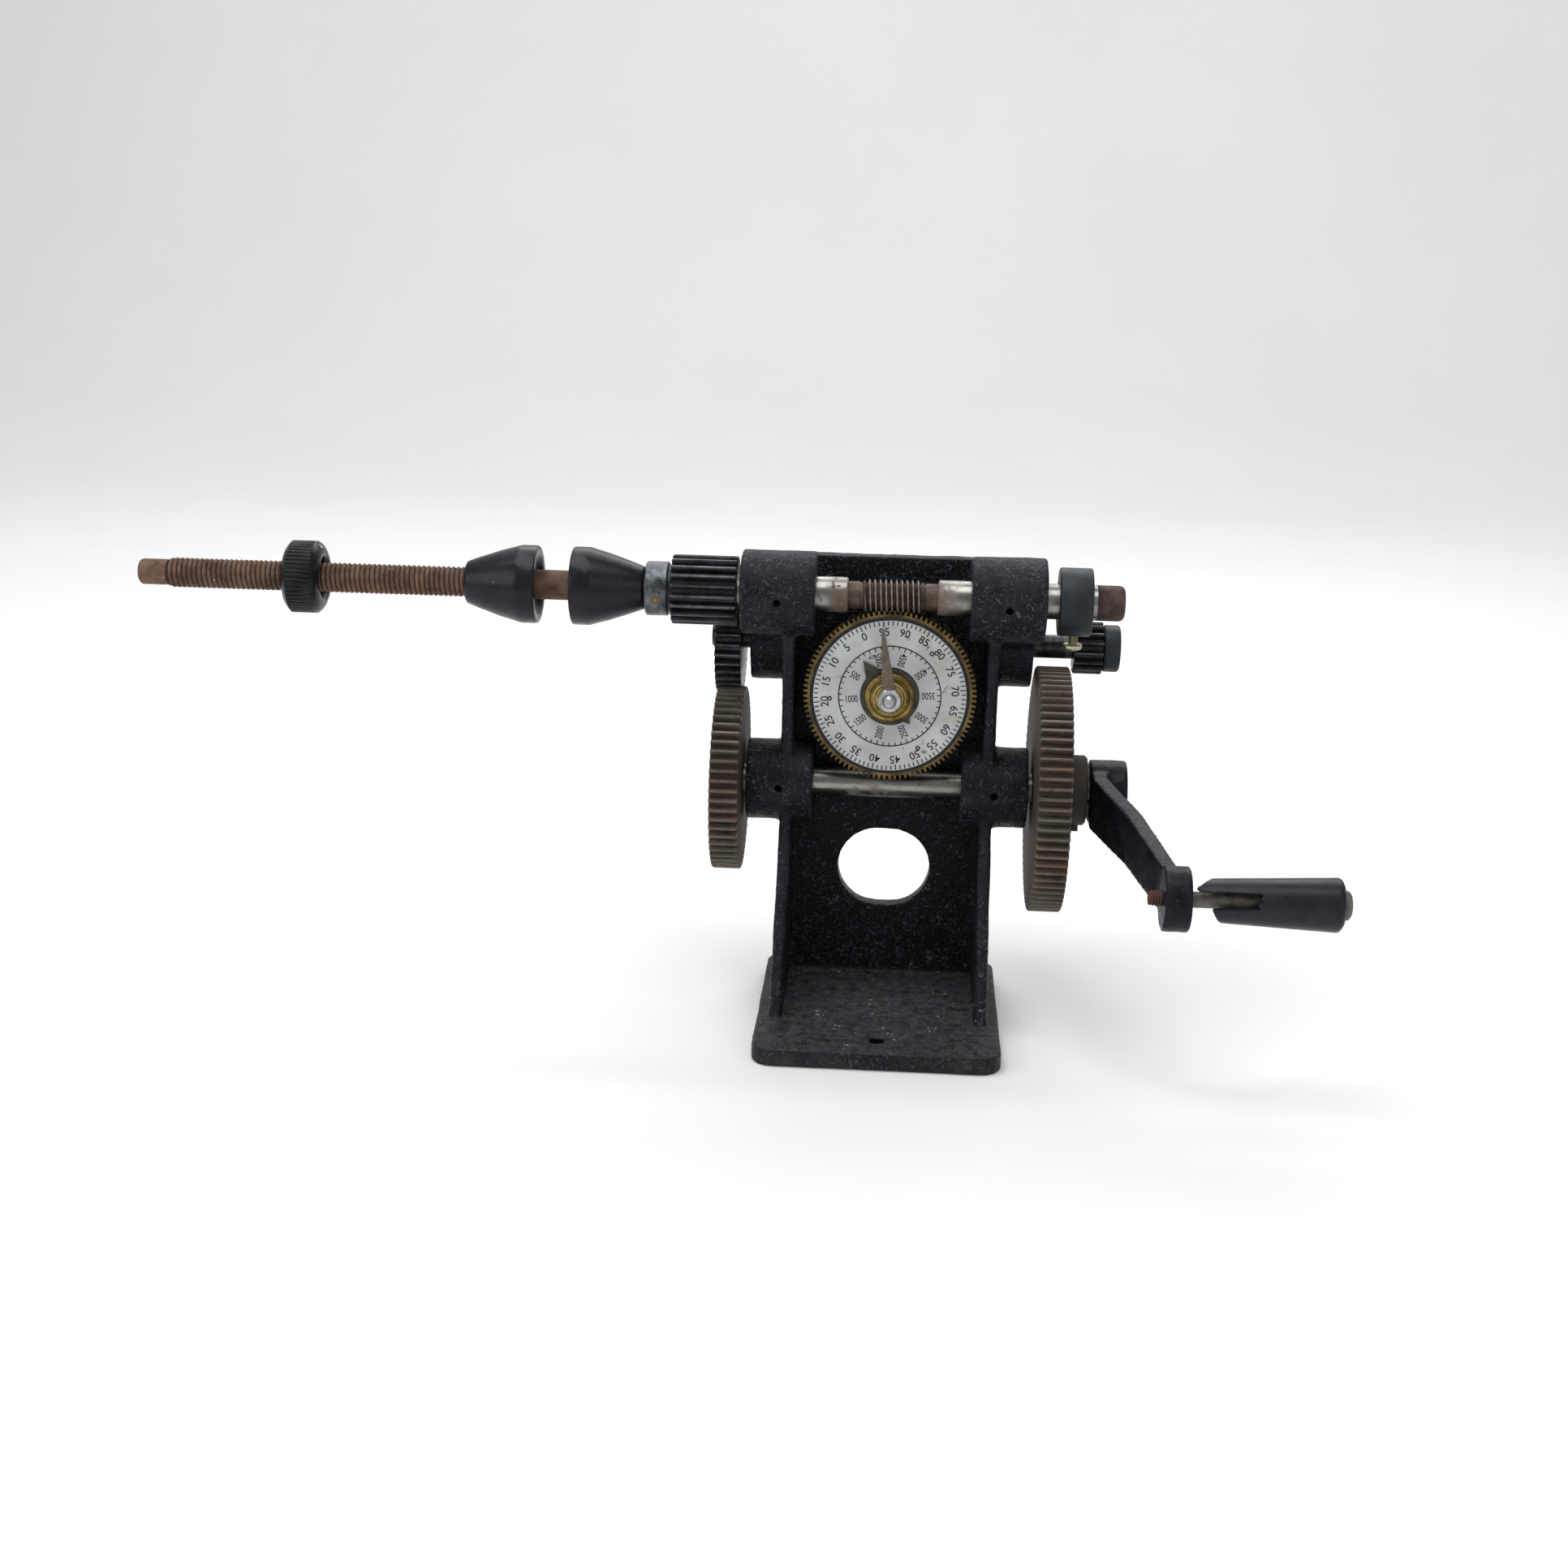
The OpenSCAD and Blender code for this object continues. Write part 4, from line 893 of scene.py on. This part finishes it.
rodLeft, rodRight = ends("handle_pin")
rodRings = inMm(((0, 2.2), (0.5, 2.75)), rodLeft)
rodRings += threadRings(rodLeft + 0.5 * mm, rodLeft + 5.4 * mm, 2.98 * mm, 0.45 * mm, 1.0 * mm, perPitch=8)
rodRings += inMm(((5.6, 3.0),), rodLeft) + inMm(((0.2, 3.0),), rodRight, -1)
addPiece("handle_rod", rodRings, pinLine, "crank_group", "zinc", pinSteel, "handle_pin", sides=40, angle=50)
headLeft, headRight = ends("handle_pin_head")
headRings = inMm(((0, 3.02), (0, 5.2), (0.3, 5.5), (1.4, 5.5), (2.1, 5.1), (2.7, 4.2)), headLeft)
headRings += inMm(((0, 3.02),), headRight)
addPiece("rod_head", headRings, pinLine, "crank_group", "zinc", pinSteel, "handle_pin_head",
         sides=56, loop=True, angle=45)

# angle from the operator's side, up positive, and where the plastic starts there, in mm from the break's tip
breakEdge = ((-180, 7), (-130, 9.5), (-90, 9.5), (-60, 7.6), (-30, 5.6), (-26, 5.6), (-23, 15),
             (-20, 22.5), (-8, 21.6), (0, 23.4), (8, 22.4), (16, 23.6), (21, 22.0), (24, 9), (27, 0.8),
             (36, 0), (60, 3.2), (80, 5.4), (110, 6), (150, 6.5), (180, 7))
gripLook = {"turn": 17, "wall": 2.0 * mm, "solidFrom": 25 * mm, "small": 7.8 * mm, "large": 10.2 * mm,
            "bore": 3.2 * mm, "columns": 160, "steps": 40}
gripStart, gripEnd = ends("handle_grip")


def breakAt(seen):
    for (a0, x0), (a1, x1) in zip(breakEdge, breakEdge[1:]):
        if seen <= a1:
            return x0 + (x1 - x0) * (seen - a0) / (a1 - a0)


def gripRadius(x):
    share = (x - gripStart) / (gripEnd - gripStart)
    return gripLook["small"] + (gripLook["large"] - gripLook["small"]) * share


# one lengthwise section, out along the skin and back through the bore
def gripColumn(seen):
    start = gripStart + (breakAt(seen) + 0.35 * noise.noise((seen * 0.35, 1.7, 0))) * mm
    skin, wall, bore = gripRadius(start), gripLook["wall"], gripLook["bore"]
    points = [(start + 0.25 * mm, skin - 0.1 * mm)]
    for i in range(1, gripLook["steps"] + 1):
        x = start + (gripEnd - 2.4 * mm - start) * i / gripLook["steps"]
        points.append((x, gripRadius(x)))
    chip = 0.5 * mm * max(0.0, noise.noise((seen * 0.06, 4.2, 0)))
    for back, drop in ((1.5, 0.15), (0.8, 0.6), (0.25, 1.3), (0.0, 2.3)):
        points.append((gripEnd - back * mm - chip, gripRadius(gripEnd) - drop * mm))
    solid = gripStart + gripLook["solidFrom"]
    points += [(gripEnd, 5.9 * mm), (gripEnd - 0.4 * mm, bore), (solid, bore),
               (solid + 0.6 * mm * noise.noise((seen * 0.1, 8.1, 0)), 5.4 * mm),
               (start + 0.9 * mm, skin - wall), (start, skin - wall * 0.55)]
    return points


bm = bmesh.new()
columns = []
for k in range(gripLook["columns"]):
    seen = -180 + 360 * k / gripLook["columns"]
    side = math.radians(180 - seen - gripLook["turn"])
    columns.append([bm.verts.new(pinLine @ Vector((r * math.cos(side), r * math.sin(side), x)))
                    for x, r in gripColumn(seen)])
for first, second in zip(columns, columns[1:] + columns[:1]):
    for i in range(len(first)):
        n = (i + 1) % len(first)
        bm.faces.new((first[i], second[i], second[n], first[n]))
place("broken_grip", meshFrom(bm, "broken_grip", 45), "grip_group", "plastic", gripPlastic, ("handle_grip",))
print("handle made")


# counter stud, its hex nut, the knurled hub and the cup washer

studBack, studTip = depths("counter_stud")
nutBack, nutFront = depths("stud_nut")
studRings = inMm(((0, 2.6, 1), (0.4, 3, 1)), studBack)  # the riveted end is painted over
studRings += inMm(((-36.5, 3), (-36.5, 6), (-30.2, 6), (-30, 5.8), (-30, 3), (-12.1, 3), (-12.1, 2.28)))
studRings += inMm(((-0.3, 2.28),), nutFront)
studRings += threadRings(nutFront - 0.2 * mm, studTip - 0.35 * mm, 2.28 * mm, 0.25 * mm, 0.7 * mm)
studRings += inMm(((-0.3, 2.05), (0, 1.75)), studTip)
addPiece("counter_post", studRings, studLine, "root", "bright_steel", [zincPlate, wrinklePaint],
         "counter_stud", sides=40, angle=40)


# six flats, cut off round at a radius in mm
def hexagon(limit):
    flat = 4.33
    return lambda a, k: min(limit, flat / math.cos((a % (math.pi / 3)) - math.pi / 6)) * mm


hexRings = inMm(((0, 2.33), (0, hexagon(4.75)), (0.3, hexagon(5))), nutBack)
hexRings += inMm(((-0.75, hexagon(5)), (-0.35, hexagon(4.72)), (0, hexagon(4.3)), (0, 2.9), (-0.4, 2.33)),
                 nutFront)
addPiece("hex_nut", hexRings, studLine, "root", "zinc", zincPlate, "stud_nut", sides=96, loop=True, angle=30)

hubLook = {"ridges": 72, "depth": 0.3 * mm, "outer": 9.98 * mm}
hubBack, hubFront = depths("counter_hub")


def hubKnurl(a, k):
    return hubLook["outer"] - hubLook["depth"] * (0.5 + 0.5 * math.cos(hubLook["ridges"] * a))


hubRings = inMm(((0, 4.05), (0, 9.5), (0.25, hubKnurl)), hubBack)
hubRings += inMm(((-0.7, hubKnurl), (-0.3, 9.5), (0, 9.0), (0, 8.0), (-0.6, 7.6), (-0.6, 4.05)), hubFront)
addPiece("knurled_hub", hubRings, studLine, "rear_wheel", "brass", agedBrass, "counter_hub",
         sides=432, loop=True)
cupBack, cupFront = depths("stud_washer")
cupRings = inMm(((0, 2.33), (0, 6.4), (0.25, 6.78)), cupBack)
cupRings += inMm(((-0.2, 6.78), (0, 6.55), (0, 6.0), (-0.3, 5.6), (-0.3, 2.33)), cupFront)
addPiece("cup_washer", cupRings, studLine, "root", "brass", brightBrass, "stud_washer", sides=80, loop=True)
print("stud, nut, hub and washer made")


# dial marks, and dark rings painted as shade on the brass wheel's face

dialLook = {"outerText": 4.4 * mm, "outerAt": 25.9 * mm, "innerText": 4.0 * mm, "innerStart": 18.0 * mm,
            "narrow": 0.66, "weight": 0.05 * mm, "edge": 30.3 * mm, "ring": 20.3 * mm, "zero": 24.6,
            "innerZero": 26.0, "sheetThick": 0.03 * mm, "rivetAt": 24 * mm, "rivetAngles": (48, 184, 300)}
dialFace, wheelFace = depths("dial_plate")[1], depths("front_counter_wheel")[1]


# angle is counter-clockwise from the top; spin turns the mark itself
def dialSpot(angle, radius, spin=0):
    a = math.radians(angle)
    return (studLine @ Matrix.Translation((-radius * math.sin(a), radius * math.cos(a), dialFace))
            @ Matrix.Rotation(math.radians(angle + spin), 4, "Z"))


def addNumber(bm, number, size, turn, align="CENTER"):
    curve = bpy.data.curves.new("mark", "FONT")
    configure(curve, body=str(number), size=size, align_x=align, align_y="CENTER", resolution_u=3,
              extrude=dialLook["sheetThick"], offset=dialLook["weight"])
    holder = linked("mark", curve)
    mesh = meshOf(holder)
    bpy.data.objects.remove(holder)
    bpy.data.curves.remove(curve)
    mesh.transform(turn)
    bm.from_mesh(mesh)
    bpy.data.meshes.remove(mesh)


def addBar(bm, angle, inner, outer, width):
    size = Matrix.Diagonal((width, outer - inner, 2 * dialLook["sheetThick"], 1))
    bmesh.ops.create_cube(bm, size=1, matrix=dialSpot(angle, (inner + outer) / 2) @ size)


def addRing(bm, inner, outer, face, middleAt=(0, 0), sides=120):
    thick = dialLook["sheetThick"]
    turn = studLine @ Matrix.Translation((*middleAt, face))
    addTurned(bm, [(-thick, inner), (thick, inner), (thick, outer), (-thick, outer)], turn, sides, loop=True)


inkAndPaintedShade = bmesh.new()
for k in range(20):
    addNumber(inkAndPaintedShade, 5 * k, dialLook["outerText"], dialSpot(dialLook["zero"] + 18 * k, dialLook["outerAt"]))
for k in range(100):
    length = (2.2 if k % 5 == 0 else 1.7) * mm
    addBar(inkAndPaintedShade, dialLook["zero"] + 3.6 * k, dialLook["edge"] - length, dialLook["edge"], 0.46 * mm)
step = 360 / 51  # the rear wheel has two teeth more, so its pointer goes round once in 51 marks
for k in range(51):
    length = (1.7 if k % 5 == 0 else 1.3) * mm
    addBar(inkAndPaintedShade, dialLook["innerZero"] + step * k, dialLook["ring"] - length, dialLook["ring"], 0.42 * mm)
slim = Matrix.Diagonal((dialLook["narrow"], 1, 1, 1))
for k in range(11):
    at = dialSpot(dialLook["innerZero"] + 5 * step * k, dialLook["innerStart"], -90)
    addNumber(inkAndPaintedShade, 500 * k, dialLook["innerText"], at @ slim, "LEFT")
addRing(inkAndPaintedShade, dialLook["ring"] - 0.2 * mm, dialLook["ring"] + 0.3 * mm, dialFace)
# dark rings painted as shade on the brass wheel's face: in the gap outside the dial plate's edge, and in the
# gap between the pointers' hub and the dial's hole
addRing(inkAndPaintedShade, 30.55 * mm, 31.9 * mm, wheelFace)
addRing(inkAndPaintedShade, 6.3 * mm, 11.7 * mm, wheelFace)
for angle in dialLook["rivetAngles"]:
    a = math.radians(angle)
    rivet = (dialLook["rivetAt"] * math.cos(a), dialLook["rivetAt"] * math.sin(a))
    addRing(inkAndPaintedShade, 0.42 * mm, 0.95 * mm, dialFace + 0.1 * mm, rivet, 24)
place("dial_marks_and_painted_shade", meshFrom(inkAndPaintedShade, "dial_marks_and_painted_shade", 30), "front_wheel", "dial", dialInkAndPaintedShade)
print("dial marks made")


# finishes on the CAD nodes that keep their own shape

keptFinish = {
    "high_gear_screw": highSteel, "crank_pin": crankPaint, "rear_counter_wheel": wheelBrass,
    "front_counter_wheel": wheelBrass, "dial_plate": dialLacquer, "dial_rivets": zincPlate,
    "long_pointer": pointerBrown, "short_pointer": pointerDark,
}
for node, mat in keptFinish.items():
    nodes[node].data.materials.clear()
    nodes[node].data.materials.append(mat)
print("finishes on", len(keptFinish), "nodes")


# floor, light and camera

stageLook = {"sky": 0.4, "skyColour": (0.95, 0.97, 1.0, 1)}
# the crank swings below the base, so the floor falls away gently there
crankDip = {"middle": (0.135, 0.031), "reach": (0.085, 0.105), "depth": 25.4 * mm}


def floorDrop(x, y):
    u = (x - crankDip["middle"][0]) / crankDip["reach"][0]
    v = (y - crankDip["middle"][1]) / crankDip["reach"][1]
    return crankDip["depth"] * max(0.0, 1 - u * u - v * v) ** 2


bm = bmesh.new()
sweep = [math.radians(d) for d in range(10, 91, 10)]
profile = [(y, 0.0) for y in (-3.0, -0.4, *(-0.08 + 0.006 * k for k in range(38)), 0.5, 1.6)]
profile += [(1.6 + 0.8 * math.sin(t), 0.8 - 0.8 * math.cos(t)) for t in sweep] + [(2.4, 3.5)]
across = [-4.0, -1.0] + [0.046 + 0.005 * k for k in range(36)] + [1.0, 4.0]
rows = [[bm.verts.new((x, y, z - 0.3 * mm - floorDrop(x, y))) for x in across] for y, z in profile]
for first, second in zip(rows, rows[1:]):
    for k in range(len(across) - 1):
        bm.faces.new((first[k], first[k + 1], second[k + 1], second[k]))
floor = rawPiece(bm, "floor")
floor.data.shade_smooth()
floor.data.materials.append(finish("pale_floor", {
    "dark": (0.86, 0.86, 0.855), "light": (0.88, 0.88, 0.875), "grain": 3, "gloss": 0.2,
    "rough": (0.75, 0.85)}))

# where each soft light stands, what it looks at, its size and its power
lightLook = {
    "key_light": ((-0.25, -0.25, 1.5), (0, 0.02, 0.1), (1.5, 0.9), 14.0),
    "fill_light": ((0.9, -1.2, 0.7), (0, 0, 0.1), (0.8, 0.8), 2.0),
    "rim_light": ((0.1, 1.0, 1.1), (0, 0, 0.15), (1.4, 0.5), 6.0),
    "side_light": ((-1.0, -0.6, 0.55), (0.05, 0, 0.1), (0.7, 0.7), 3.0),
    "wall_light": ((0, 1.15, 2.4), (0, 2.4, 0.9), (3.0, 0.6), 22.0),
}
for name, (at, aim, (wide, high), power) in lightLook.items():
    lamp = bpy.data.lights.new(name, "AREA")
    holder = linked(name, configure(lamp, shape="RECTANGLE", size=wide, size_y=high, energy=power))
    holder.location = at
    holder.rotation_euler = (Vector(aim) - Vector(at)).to_track_quat("-Z", "Y").to_euler()
world = bpy.data.worlds.new("studio")
world.use_nodes = True
sky = world.node_tree.nodes["Background"]
sky.inputs["Color"].default_value = stageLook["skyColour"]
sky.inputs["Strength"].default_value = stageLook["sky"]
bpy.context.scene.world = world

# angles in degrees, place in metres, focal length as a share of the image's width
cameraLook = {"yaw": 3.0106, "pitch": 15.0119, "roll": 1.3984, "at": (0.0023545, -0.8132447, 0.3152824),
              "focal": 2624.19 / 1932}
yaw, pitch, roll = (math.radians(cameraLook[key]) for key in ("yaw", "pitch", "roll"))
ahead = Vector((-math.sin(yaw) * math.cos(pitch), math.cos(yaw) * math.cos(pitch), -math.sin(pitch)))
level = Vector((math.cos(yaw), math.sin(yaw), 0))
up = level.cross(ahead)
cameraX = level * math.cos(roll) + up * math.sin(roll)
cameraY = up * math.cos(roll) - level * math.sin(roll)
lens = bpy.data.cameras.new("photo_view")
configure(lens, sensor_width=36, sensor_fit="HORIZONTAL", lens=36 * cameraLook["focal"], clip_start=0.02)
camera = linked("photo_view", lens)
camera.matrix_world = Matrix((cameraX, cameraY, -ahead)).transposed().to_4x4()
camera.location = cameraLook["at"]
bpy.context.scene.camera = camera
bpy.context.scene.view_settings.view_transform = "Standard"
print("stage ready")
